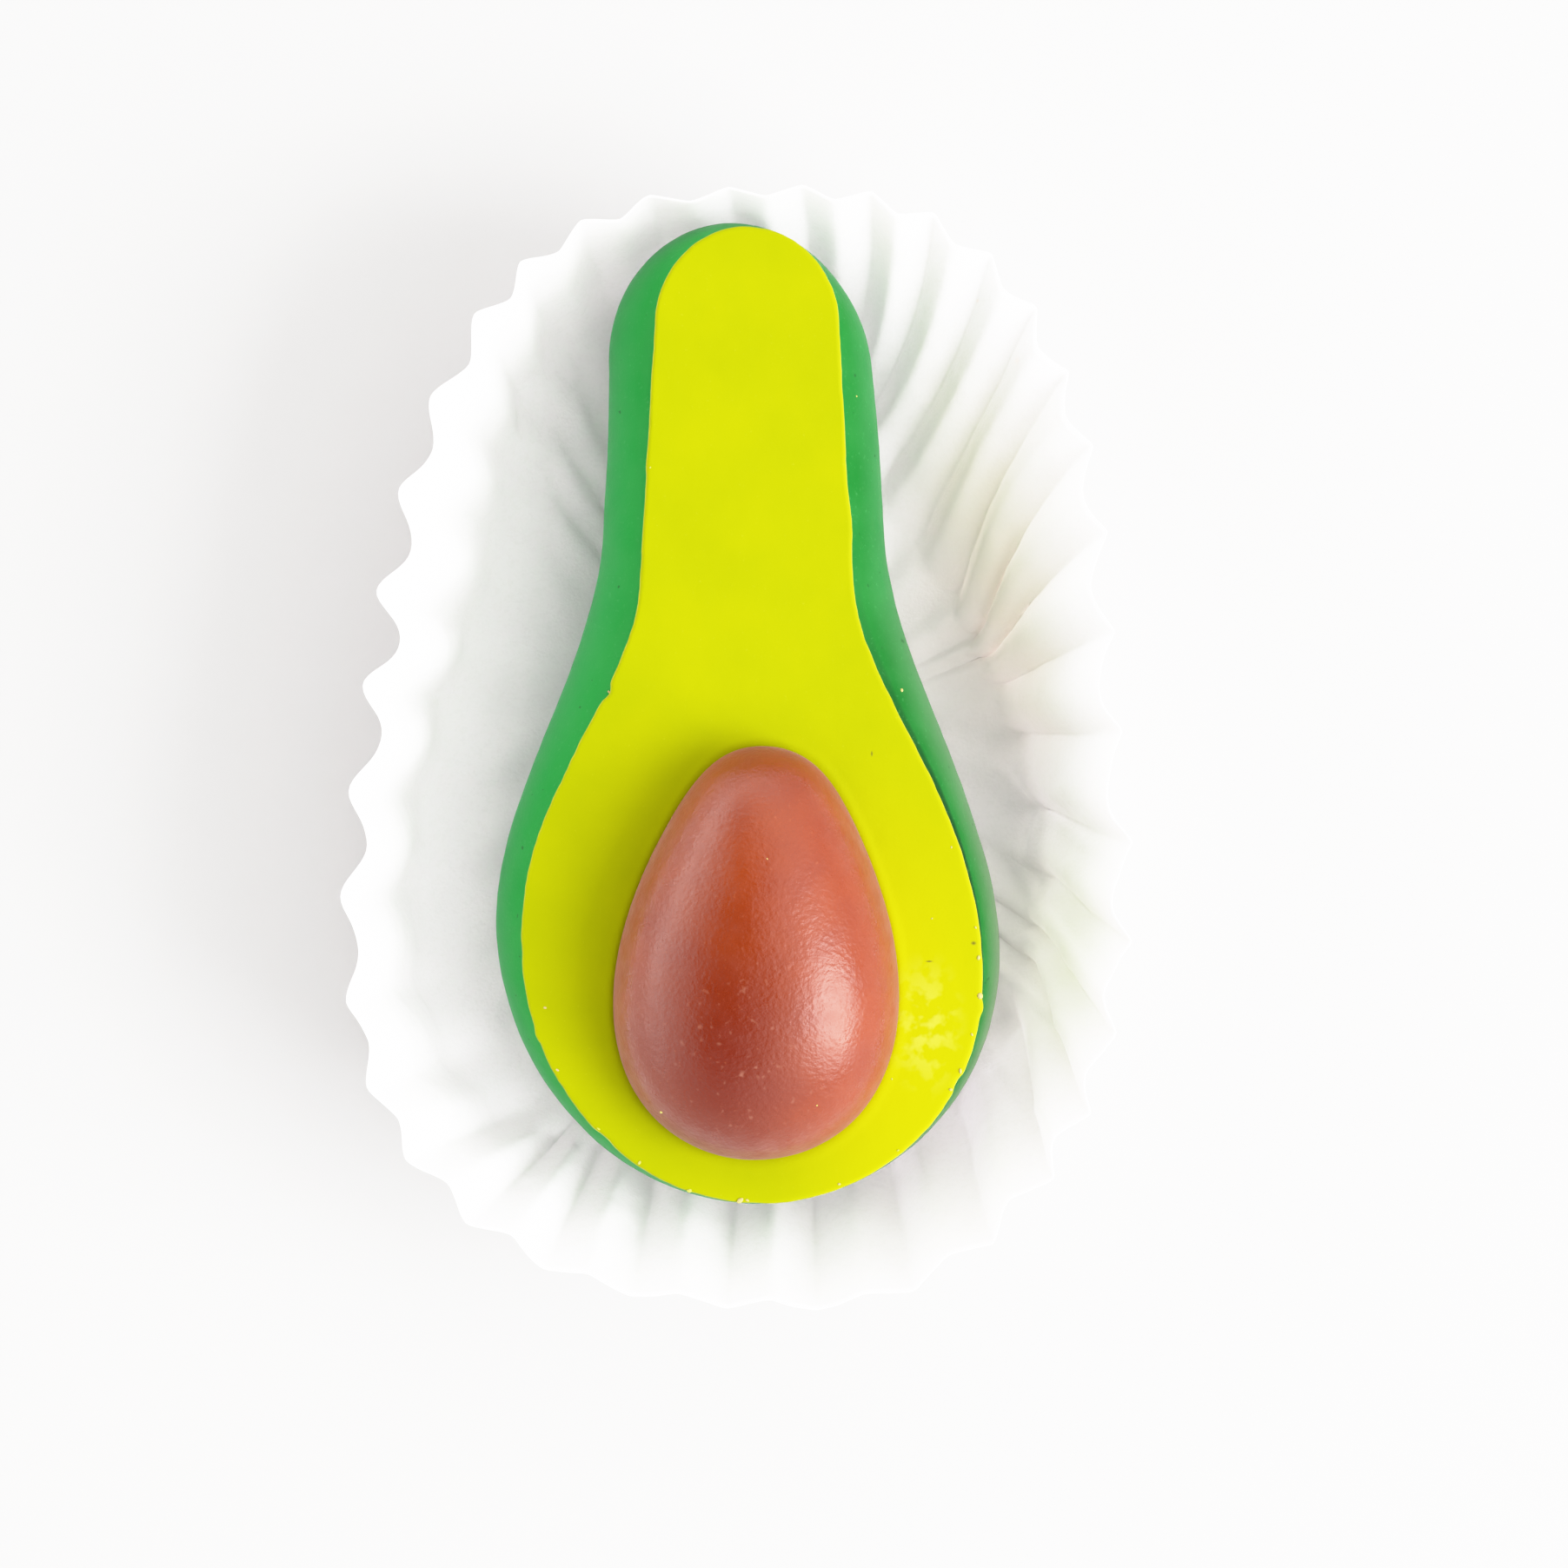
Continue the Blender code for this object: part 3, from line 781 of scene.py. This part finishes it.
def skin_mesh(shift):
    """Pear outlines, which widen from the flat rest to the flank as a superellipse of the height and then
    draw in to the face's outline by a power of it, grained by hand and mould."""
    rings = []
    for down in np.sqrt(np.linspace(1.0, 0.0, KEEL_ROWS)):
        share = 1.0 - (1.0 - down**KEEL_POWER) ** (1.0 / KEEL_POWER)
        z = FLANK_HEIGHT + (SKIN_REST - FLANK_HEIGHT) * down
        rings.append(at_height(pear_loop(between(FLANK_PEAR, REST_PEAR, share), SKIN_COLUMNS), z))
    for up in np.linspace(0.0, 1.0, BULGE_ROWS + 1)[1:]:
        share = up**BULGE_POWER
        z = FLANK_HEIGHT + (SKIN_TOP - FLANK_HEIGHT) * up
        outline = pear_loop(between(FLANK_PEAR, FACE_PEAR, share), SKIN_COLUMNS, OVERHANG * share)
        rings.append(at_height(outline, z))
    rest = toward_middle(rings[0], REST_PEAR, (0.0, 0.35, 0.65, 0.9))
    top = toward_middle(rings[-1], FACE_PEAR, (0.97, 0.6, 0.25, 0.0))
    rings = np.concatenate([rest, rings, top])
    rings[..., :2] += shift
    grained = rings + normals(rings) * uneven(rings, *SKIN_GRAIN)[..., None]
    return zipped(skin_over("green_skin", grained, ends_shut=True))


def skin_finish():
    """Matt green marzipan: a fine almond grain, slightly uneven colour, pale flecks and a few dark specks,
    over painted light and shade: lighter on the left, a painted sheen at the right belly, and painted shade
    at the right neck, under the slab's edge and in the groove at the right.
    """
    material, tree, shader, place = new_finish("green_marzipan")
    axes = add_node(tree, "ShaderNodeSeparateXYZ", {0: place}).outputs
    # Painted light and shade: lighter on the left, a painted sheen at the right belly, darker at the right
    # neck
    painted_light_share = rescale(tree, axes[0], *PAINTED_LIGHT_RIGHTWARD)
    toward_neck = rescale(tree, axes[1], *PAINTED_SHEEN_NECKWARD)
    painted_right_side = tint(tree, toward_neck, GREEN_BELLY_PAINTED_SHEEN, GREEN_NECK_PAINTED_SHADE)
    flank = tint(tree, painted_light_share, GREEN_LEFT_PAINTED_LIGHT, painted_right_side)
    # Painted shade under the slab's edge
    under_edge_shade = tint(tree, painted_light_share, UNDER_EDGE_SHADE_LEFT, UNDER_EDGE_SHADE_RIGHT)
    colour = tint(tree, rescale(tree, axes[2], *UNDER_EDGE_SHADE_BAND), flank, under_edge_shade)
    cloud = times(tree, clouds(tree, place, GREEN_CLOUD_SIZE), GREEN_CLOUD_SHARE)
    colour = tint(tree, cloud, colour, GREEN_CLOUD)
    # Painted shade in the groove at the right under the slab
    groove_shade = times(tree, rescale(tree, axes[2], *GROOVE_SHADE_BAND), spot(tree, place, *GROOVE_SHADE))
    colour = tint(tree, groove_shade, colour, GROOVE_SHADE_GREEN)
    soot = rescale(tree, mottle(tree, place, SOOT_SIZE, 1.0, 9.0), 0.76, 0.78, 0.0, 0.6)
    colour = tint(tree, soot, colour, SOOT_GREEN)
    grain = mottle(tree, place, ALMOND_SIZE, 3.0)
    colour = tint(tree, rescale(tree, grain, 0.62, 0.85, 0.0, 0.25), colour, GREEN_FLECK)
    cover(tree, shader, colour, SKIN_GLOSS)
    emboss(tree, shader, grain, ALMOND_DEPTH, 0.5)
    return material


skin = set_down("green_skin", skin_mesh(centring), skin_finish(), "green_marzipan", "skin_body")


# Lime flesh: a slab of lime marzipan, rolled 2 mm thick, cut to the pear outline and laid on the
# skin. Its cut edge stands a hair past the green, and it is dented where the stone is pressed in.

FLESH_COLUMNS = 640
CUT_ROWS = 9
EDGE_ROWS = 5
FACE_ROWS = 58
EDGE_ROUNDING = 0.00022
EDGE_WOBBLE = ((0.000035, 0.0011, 21), (0.000018, 0.00042, 22))
FACE_GRAIN = ((0.000014, 0.0030, 23), (0.000006, 0.0006, 24))
# Nicks and bulges in the cut edge: place, reach, how far in
NICKS = (
    (-0.0074, 0.0026, 0.00030, 0.00022),
    (0.01365, -0.0152, 0.00035, -0.00014),
    (0.0128, -0.0196, 0.00022, 0.00012),
    (-0.0072, -0.0222, 0.00030, 0.00012),
    (0.00885, 0.0122, 0.00018, -0.00010),
    (-0.0114, -0.0168, 0.00022, -0.00010),
)
STONE_LENGTH = 0.02318
STONE_WIDTH = 0.01555
STONE_X = 0.00119
STONE_Y = -0.01208
STONE_TAPER = 0.254
STONE_BLUNT = 0.20
STONE_LEAN = math.radians(2.3)
SEAT_DEPTH = 0.00045
SEAT_EDGE = (0.930, 0.062)
LIP_HEIGHT = 0.00004
LIP_EDGE = (1.03, 0.025)
LIME = (0.228, 0.250, 0.0)
LIME_CLOUD = (0.245, 0.264, 0.0)
LIME_CLOUD_SIZE = 0.004
LIME_FLECK = (0.42, 0.44, 0.03)
SUGAR_SIZE = 0.00020
SUGAR_DEPTH = 0.00002
# A greasy patch right of the stone is painted paler as a highlight, and beads of syrup at its middle paler
# still as painted glints; the beads' lower roughness and relief are real
GREASE_HIGHLIGHT = ((0.0092, -0.0155, FACE_HEIGHT), (0.0100, 0.0180, 0.01))
GREASE_HIGHLIGHT_LIME = (0.330, 0.325, 0.0)
BEADS = ((0.0108, -0.0156, FACE_HEIGHT), (0.0025, 0.0046, 0.01))
BEAD_GLINT_LIME = (0.40, 0.395, 0.035)
BEAD_SIZE = 0.00095
# Painted highlight: the cut side is paler all round in broken patches, most of all at the lower left, where
# the rounded edge catches the light
EDGE_HIGHLIGHT_SPOT = ((-0.0060, -0.0226, FACE_HEIGHT), (0.0042, 0.0042, 0.01))
EDGE_HIGHLIGHT_LIME = (0.55, 0.49, 0.20)
EDGE_HIGHLIGHT_SIZE = 0.0008
CUT_BAND = (FACE_HEIGHT - 0.00020, FACE_HEIGHT - 0.00006)
# A dark speck and two fine scratches in the face
DARK_MARKS = (
    ((0.01344, -0.01098, FACE_HEIGHT), (0.00022, 0.00016, 0.0004)),
    ((0.01095, -0.01200, FACE_HEIGHT), (0.00030, 0.00008, 0.0004)),
    ((0.00773, -0.00035, FACE_HEIGHT), (0.00008, 0.00022, 0.0004)),
)
MARK_LIME = (0.10, 0.085, 0.01)


def egg_width(cosine):
    """Width of the egg at the cosine of the turn from its neck end: tapering, and blunt again at the tip."""
    return 1.0 - STONE_TAPER * cosine + STONE_BLUNT * np.clip(cosine, 0.0, None) ** 5


def egg_share(x, y):
    """Size of the egg outline through each point, 1 on the stone's own outline: settled in a few rounds."""
    along = (x - STONE_X) * math.sin(STONE_LEAN) + (y - STONE_Y) * math.cos(STONE_LEAN)
    across = (x - STONE_X) * math.cos(STONE_LEAN) - (y - STONE_Y) * math.sin(STONE_LEAN)
    along = along / (STONE_LENGTH / 2.0)
    share = np.hypot(along, across / (STONE_WIDTH / 2.0))
    for _ in range(6):
        width = egg_width(np.clip(along / np.maximum(share, 1e-6), -1.0, 1.0))
        share = np.hypot(along, across / (STONE_WIDTH / 2.0 * width))
    return share


def flesh_mesh(shift):
    """Slab: the pear outline up its cut side, around a quarter circle at the edge and in over the face to the
    middle line. The seat is an eased step down inside the stone's outline, with a lip just outside it."""
    loop = pear_loop(FACE_PEAR, FLESH_COLUMNS)
    outward = facing_out(loop)
    wobble = uneven(at_height(loop, 0.0), *EDGE_WOBBLE)
    for x, y, reach, push in NICKS:
        apart = np.hypot(loop[:, 0] - x, loop[:, 1] - y)
        wobble = wobble - push * np.exp(-(((apart - apart.min()) / reach) ** 2))
    rings = []
    for z in np.linspace(SKIN_TOP, FACE_HEIGHT - EDGE_ROUNDING, CUT_ROWS):
        rough = 0.6 + 0.4 * (z - SKIN_TOP) / (FACE_HEIGHT - SKIN_TOP)
        rings.append(at_height(loop + outward * (wobble * rough)[:, None], z))
    for bend in np.linspace(0.0, math.pi / 2.0, EDGE_ROWS + 1)[1:]:
        inset = EDGE_ROUNDING * (1.0 - math.cos(bend))
        z = FACE_HEIGHT - EDGE_ROUNDING * (1.0 - math.sin(bend))
        rings.append(at_height(loop + outward * (wobble - inset)[:, None], z))
    face = toward_middle(rings[-1], FACE_PEAR, np.linspace(0.985, 0.0, FACE_ROWS))
    underside = toward_middle(rings[0], FACE_PEAR, (0.0, 0.4, 0.8))
    rings = np.concatenate([underside, rings, face])
    share = egg_share(rings[..., 0], rings[..., 1])
    on_face = rings[..., 2] > FACE_HEIGHT - 0.00001
    seat = -SEAT_DEPTH * (1.0 - ease((share - SEAT_EDGE[0]) / SEAT_EDGE[1]))
    seat = seat + LIP_HEIGHT * np.exp(-(((share - LIP_EDGE[0]) / LIP_EDGE[1]) ** 2))
    rings[..., 2] += np.where(on_face, seat + uneven(rings, *FACE_GRAIN), 0.0)
    rings[..., :2] += shift
    return zipped(skin_over("lime_flesh", rings, ends_shut=True))


def flesh_finish():
    """Lime marzipan: nearly smooth, with faint clouding, fine grain, a greasy patch and beads painted paler
    as a highlight and glints, and a cut side painted paler as a highlight.
    """
    material, tree, shader, place = new_finish("lime_marzipan")
    colour = tint(tree, clouds(tree, place, LIME_CLOUD_SIZE), LIME, LIME_CLOUD)
    grain = mottle(tree, place, SUGAR_SIZE, 3.0)
    colour = tint(tree, rescale(tree, grain, 0.66, 0.85, 0.0, 0.25), colour, LIME_FLECK)
    # Painted highlight and glints: the greasy patch and the beads are paler
    colour = tint(tree, spot(tree, place, *GREASE_HIGHLIGHT), colour, GREASE_HIGHLIGHT_LIME)
    beads = rescale(tree, mottle(tree, place, BEAD_SIZE, 2.0, 3.0), 0.46, 0.58)
    beads = times(tree, beads, spot(tree, place, *BEADS))
    colour = tint(tree, beads, colour, BEAD_GLINT_LIME)
    height = add_node(tree, "ShaderNodeSeparateXYZ", {0: place}).outputs[2]
    # Painted highlight: the cut side is paler, most at the lower left
    cut_side = rescale(tree, height, *CUT_BAND, 1.0, 0.0)
    edge_highlight = rescale(tree, spot(tree, place, *EDGE_HIGHLIGHT_SPOT), 0.0, 0.5, 0.22, 0.80)
    broken = rescale(tree, mottle(tree, place, EDGE_HIGHLIGHT_SIZE, 3.0, 6.0), 0.38, 0.62, 0.35, 1.0)
    colour = tint(tree, times(tree, cut_side, times(tree, edge_highlight, broken)), colour, EDGE_HIGHLIGHT_LIME)
    for mark in DARK_MARKS:
        colour = tint(tree, spot(tree, place, *mark), colour, MARK_LIME)
    cover(tree, shader, colour, {"Specular IOR Level": 0.02})
    tree.links.new(rescale(tree, beads, 0.0, 1.0, 0.5, 0.24), shader.inputs["Roughness"])
    emboss(tree, shader, plus(tree, times(tree, beads, 1.5), grain), SUGAR_DEPTH, 0.35)
    return material


flesh = set_down("lime_flesh", flesh_mesh(centring), flesh_finish(), "lime_marzipan", "flesh_face")


# Stone: red-brown marzipan rolled to an egg, halved, pressed into the lime face and lightly glazed,
# so that it shines softly over a fine grain with small pits and sugar specks.

STONE_DOME = 0.0072
STONE_FOOT = 0.0004
DOME_POWER = 2.15
STONE_COLUMNS = 360
DOME_ROWS = 90
STONE_GRAIN = ((0.000012, 0.0021, 31), (0.000003, 0.0008, 32), (0.000003, 0.0004, 33))
PIT_DEPTH = 0.000005
PIT_SIZE = 0.00050
BROWN = (0.152, 0.0175, 0.0004)
BROWN_CLOUD = (0.178, 0.0245, 0.0008)
BROWN_CLOUD_SIZE = 0.003
BROWN_FLECK = (0.30, 0.09, 0.035)
BROWN_GRAIN_SIZE = 0.00025
# Painted shade: the stone is darker over its lower left, where less light reaches it
STONE_SHADE = ((-0.0005, -0.0170, 0.021), (0.0068, 0.0120, 0.02))
STONE_SHADE_BROWN = (0.098, 0.0070, 0.0001)
# Sugar specks on the lower half; a pink pallor around the foot that is partly sugar dust and partly painted
# sheen; and a line of painted contact shade, a more saturated red, where it meets the lime
SPECKS = ((0.0010, -0.0170, 0.022), (0.0075, 0.0095, 0.012))
SPECK_BROWN = (0.42, 0.22, 0.15)
SPECK_SIZE = 0.00050
DUST_AND_SHEEN_BROWN = (0.215, 0.105, 0.085)
DUST_AND_SHEEN_SIZE = 0.0011
DUST_AND_SHEEN_BAND = (FACE_HEIGHT + 0.0004, FACE_HEIGHT + 0.0052)
DUST_AND_SHEEN_NECKWARD = (-0.0050, -0.0010)
CONTACT_SHADE_BROWN = (0.230, 0.030, 0.0003)
CONTACT_SHADE_BAND = (FACE_HEIGHT + 0.0002, FACE_HEIGHT + 0.0009)
# The glaze dried unevenly, with a skin like orange peel, and is thin near the foot, which is duller
GLAZE_SIZE = 0.0012
GLAZE_ROUGHNESS = (0.25, 0.37)
PEEL_SIZE = 0.00030
PEEL_DEPTH = 0.00004
DULL_BAND = (FACE_HEIGHT + 0.0006, FACE_HEIGHT + 0.0036)
STONE_GLOSS = {
    "Specular IOR Level": 0.38,
    "Sheen Weight": 0.10,
    "Sheen Roughness": 0.32,
    "Sheen Tint": (1.0, 0.88, 0.92, 1.0),
}


def stone_mesh(shift):
    """Egg outlines on a short upright foot, closing over a dome to a pole: a superellipse of the height."""
    turn = np.linspace(0.0, 2.0 * math.pi, STONE_COLUMNS, endpoint=False)
    toward_neck = np.cos(turn)
    across = -STONE_WIDTH / 2.0 * np.sin(turn) * egg_width(toward_neck)
    along = STONE_LENGTH / 2.0 * toward_neck
    x = across * math.cos(STONE_LEAN) + along * math.sin(STONE_LEAN)
    y = along * math.cos(STONE_LEAN) - across * math.sin(STONE_LEAN)
    climb = np.sin(np.linspace(0.0, 0.995, DOME_ROWS) * math.pi / 2.0)
    foot = [0.3, 0.7, 0.97, 1.0]
    scale = np.concatenate([foot, (1.0 - climb**DOME_POWER) ** (1.0 / DOME_POWER)])[:, None]
    z = np.concatenate([np.full(len(foot), FACE_HEIGHT - STONE_FOOT), FACE_HEIGHT + STONE_DOME * climb])
    z = np.broadcast_to(z[:, None], (len(z), STONE_COLUMNS))
    rings = np.stack([STONE_X + x * scale, STONE_Y + y * scale, z], axis=-1)
    rings[..., :2] += shift
    pits = -PIT_DEPTH * ease((lumps(rings, PIT_SIZE, 34) - 0.60) / 0.3)
    relief = uneven(rings, *STONE_GRAIN) + pits
    return skin_over("brown_stone", rings + normals(rings) * relief[..., None])


def stone_finish():
    """Red-brown glazed marzipan: cloudy colour, a satin shine, small pits, sugar specks and a dusty foot with
    painted sheen, painted shade at the lower left and a painted contact shade line where it meets the lime.
    """
    material, tree, shader, place = new_finish("brown_marzipan")
    colour = tint(tree, clouds(tree, place, BROWN_CLOUD_SIZE), BROWN, BROWN_CLOUD)
    # Painted shade over the stone's lower left
    colour = tint(tree, spot(tree, place, *STONE_SHADE), colour, STONE_SHADE_BROWN)
    grain = mottle(tree, place, BROWN_GRAIN_SIZE, 3.0)
    colour = tint(tree, rescale(tree, grain, 0.66, 0.80, 0.0, 0.3), colour, BROWN_FLECK)
    specks = rescale(tree, mottle(tree, place, SPECK_SIZE, 1.0, 5.0), 0.66, 0.84, 0.0, 0.32)
    colour = tint(tree, times(tree, specks, spot(tree, place, *SPECKS)), colour, SPECK_BROWN)
    axes = add_node(tree, "ShaderNodeSeparateXYZ", {0: place}).outputs
    # Sugar dust and painted sheen around the foot
    dust_and_sheen = rescale(tree, axes[2], *DUST_AND_SHEEN_BAND, 0.55, 0.0)
    dust_and_sheen = times(tree, dust_and_sheen, rescale(tree, axes[1], *DUST_AND_SHEEN_NECKWARD, 1.0, 0.10))
    dust_and_sheen = times(tree, dust_and_sheen, rescale(tree, mottle(tree, place, DUST_AND_SHEEN_SIZE, 3.0, 4.0), 0.3, 0.65, 0.35, 1.0))
    colour = tint(tree, dust_and_sheen, colour, DUST_AND_SHEEN_BROWN)
    # Painted contact shade where the stone meets the lime
    colour = tint(tree, rescale(tree, axes[2], *CONTACT_SHADE_BAND, 0.8, 0.0), colour, CONTACT_SHADE_BROWN)
    cover(tree, shader, colour, STONE_GLOSS)
    worn = clouds(tree, place, GLAZE_SIZE, 3.0, 2.0, *GLAZE_ROUGHNESS)
    roughness = plus(tree, worn, rescale(tree, axes[2], *DULL_BAND, 0.38, 0.0))
    tree.links.new(roughness, shader.inputs["Roughness"])
    peel = times(tree, mottle(tree, place, PEEL_SIZE), 1.2)
    emboss(tree, shader, plus(tree, peel, grain), PEEL_DEPTH, 0.55)
    return material


stone = set_down("brown_stone", stone_mesh(centring), stone_finish(), "brown_marzipan", "stone")


# Crumbs: scraps of pale marzipan left by the cutting and handling, stuck along the slab's edge and here
# and there on the fruit. One piece holds them all; each is pressed a little into what it lies on.

CRUMB_ROWS = 5
CRUMB_COLUMNS = 8
CRUMB_LIFT = 0.08
CRUMB_LUMPS = (0.30, 0.7, 52)
# Least and most of a crumb's length, width and height, as shares of its half-size
CRUMB_LEAST = (0.8, 0.5, 0.3)
CRUMB_MOST = (1.3, 0.8, 0.45)
DROP_FROM = 0.05
# Each crumb: place to the right and toward the neck, half-size, all in millimetres
CRUMBS = (
    (-2.50, -24.86, 0.17), (0.32, -25.42, 0.20), (0.75, -25.40, 0.10), (13.72, -11.80, 0.13),
    (13.80, -13.95, 0.20), (12.70, -18.15, 0.15), (12.15, -19.20, 0.13), (9.52, 3.30, 0.14),
    (-3.95, -20.15, 0.11), (-7.10, 3.15, 0.10), (-5.30, -23.30, 0.12), (-7.60, -21.40, 0.09),
    (5.90, -24.50, 0.10), (9.20, -22.60, 0.09), (13.55, -10.10, 0.08), (13.35, -16.10, 0.11),
    (12.20, -5.60, 0.07), (6.95, 20.10, 0.07), (-10.60, -14.60, 0.08), (-4.70, 15.70, 0.07),
    (8.85, -18.60, 0.07), (11.10, -9.60, 0.06), (4.60, -19.60, 0.06), (1.90, -6.10, 0.05),
    (-9.90, -18.10, 0.08),
)
CRUMB_LIME = (0.38, 0.39, 0.03)
CRUMB_PINK = (0.42, 0.30, 0.14)
CRUMB_TINT_SIZE = 0.0030
CRUMB_FLECK = (0.50, 0.47, 0.25)
CRUMB_GRAIN_SIZE = 0.00006
CRUMB_GRAIN_DEPTH = 0.00001
CRUMB_GLOSS = {"Roughness": 0.55, "Specular IOR Level": 0.25}


def lie_on(pieces, x, y):
    """Height of the topmost piece below a point."""
    hits = [piece.ray_cast((x, y, DROP_FROM), (0.0, 0.0, -1.0)) for piece in pieces]
    return max(place.z for found, place, _, _ in hits if found)


def crumb_mesh(pieces):
    """Lumpy flattened balls: latitude rings with a point at each pole, turned at random."""
    bpy.context.view_layer.update()
    random = np.random.default_rng(51)
    crumbs = np.array(CRUMBS) * 0.001
    count = len(crumbs)
    sizes = crumbs[:, 2]
    heights = np.array([lie_on(pieces, x, y) for x, y, _ in crumbs]) + CRUMB_LIFT * sizes
    middles = np.column_stack([crumbs[:, :2], heights])
    tilt = math.pi * np.arange(1, CRUMB_ROWS + 1)[:, None] / (CRUMB_ROWS + 1)
    turn = 2.0 * math.pi * np.arange(CRUMB_COLUMNS)[None, :] / CRUMB_COLUMNS
    ball = [np.sin(tilt) * np.cos(turn), np.sin(tilt) * np.sin(turn), np.cos(tilt) + 0.0 * turn]
    ball = np.stack(ball, axis=-1).reshape(-1, 3)
    ball = np.concatenate([ball, [[0.0, 0.0, 1.0], [0.0, 0.0, -1.0]]])
    lumpy = 1.0 + uneven(ball[None] + random.uniform(0.0, 20.0, (count, 1, 3)), CRUMB_LUMPS)
    shape = ball[None] * lumpy[..., None] * random.uniform(CRUMB_LEAST, CRUMB_MOST, (count, 3))[:, None]
    swing = random.uniform(0.0, 2.0 * math.pi, count)[:, None]
    x = shape[..., 0] * np.cos(swing) - shape[..., 1] * np.sin(swing)
    y = shape[..., 0] * np.sin(swing) + shape[..., 1] * np.cos(swing)
    points = middles[:, None] + sizes[:, None, None] * np.stack([x, y, shape[..., 2]], axis=-1)
    here = np.arange(CRUMB_COLUMNS)
    beside = (here + 1) % CRUMB_COLUMNS
    row = np.arange(CRUMB_ROWS - 1)[:, None] * CRUMB_COLUMNS
    below = row + CRUMB_COLUMNS
    quads = np.stack([row + here, below + here, below + beside, row + beside], axis=-1).reshape(-1, 4)
    last = (CRUMB_ROWS - 1) * CRUMB_COLUMNS
    pole = np.full(CRUMB_COLUMNS, last + CRUMB_COLUMNS)
    top = np.stack([here, beside, pole], axis=-1)
    bottom = np.stack([last + beside, last + here, pole + 1], axis=-1)
    first = np.arange(count)[:, None, None] * len(ball)
    fans = (np.concatenate([top, bottom]) + first).reshape(-1, 3)
    return mesh_of("marzipan_crumbs", points.reshape(-1, 3), (quads + first).reshape(-1, 4), fans)


def crumb_finish():
    """Barely coloured marzipan: some scraps faintly lime, some pink, with a coarse pale grain."""
    material, tree, shader, place = new_finish("pale_marzipan")
    pinker = rescale(tree, mottle(tree, place, CRUMB_TINT_SIZE, 1.0), 0.35, 0.65)
    colour = tint(tree, pinker, CRUMB_LIME, CRUMB_PINK)
    grain = mottle(tree, place, CRUMB_GRAIN_SIZE)
    colour = tint(tree, rescale(tree, grain, 0.5, 0.7, 0.0, 0.3), colour, CRUMB_FLECK)
    cover(tree, shader, colour, CRUMB_GLOSS)
    emboss(tree, shader, grain, CRUMB_GRAIN_DEPTH, 0.5)
    return material


set_down("marzipan_crumbs", crumb_mesh((skin, flesh, stone)), crumb_finish(), "lime_marzipan")
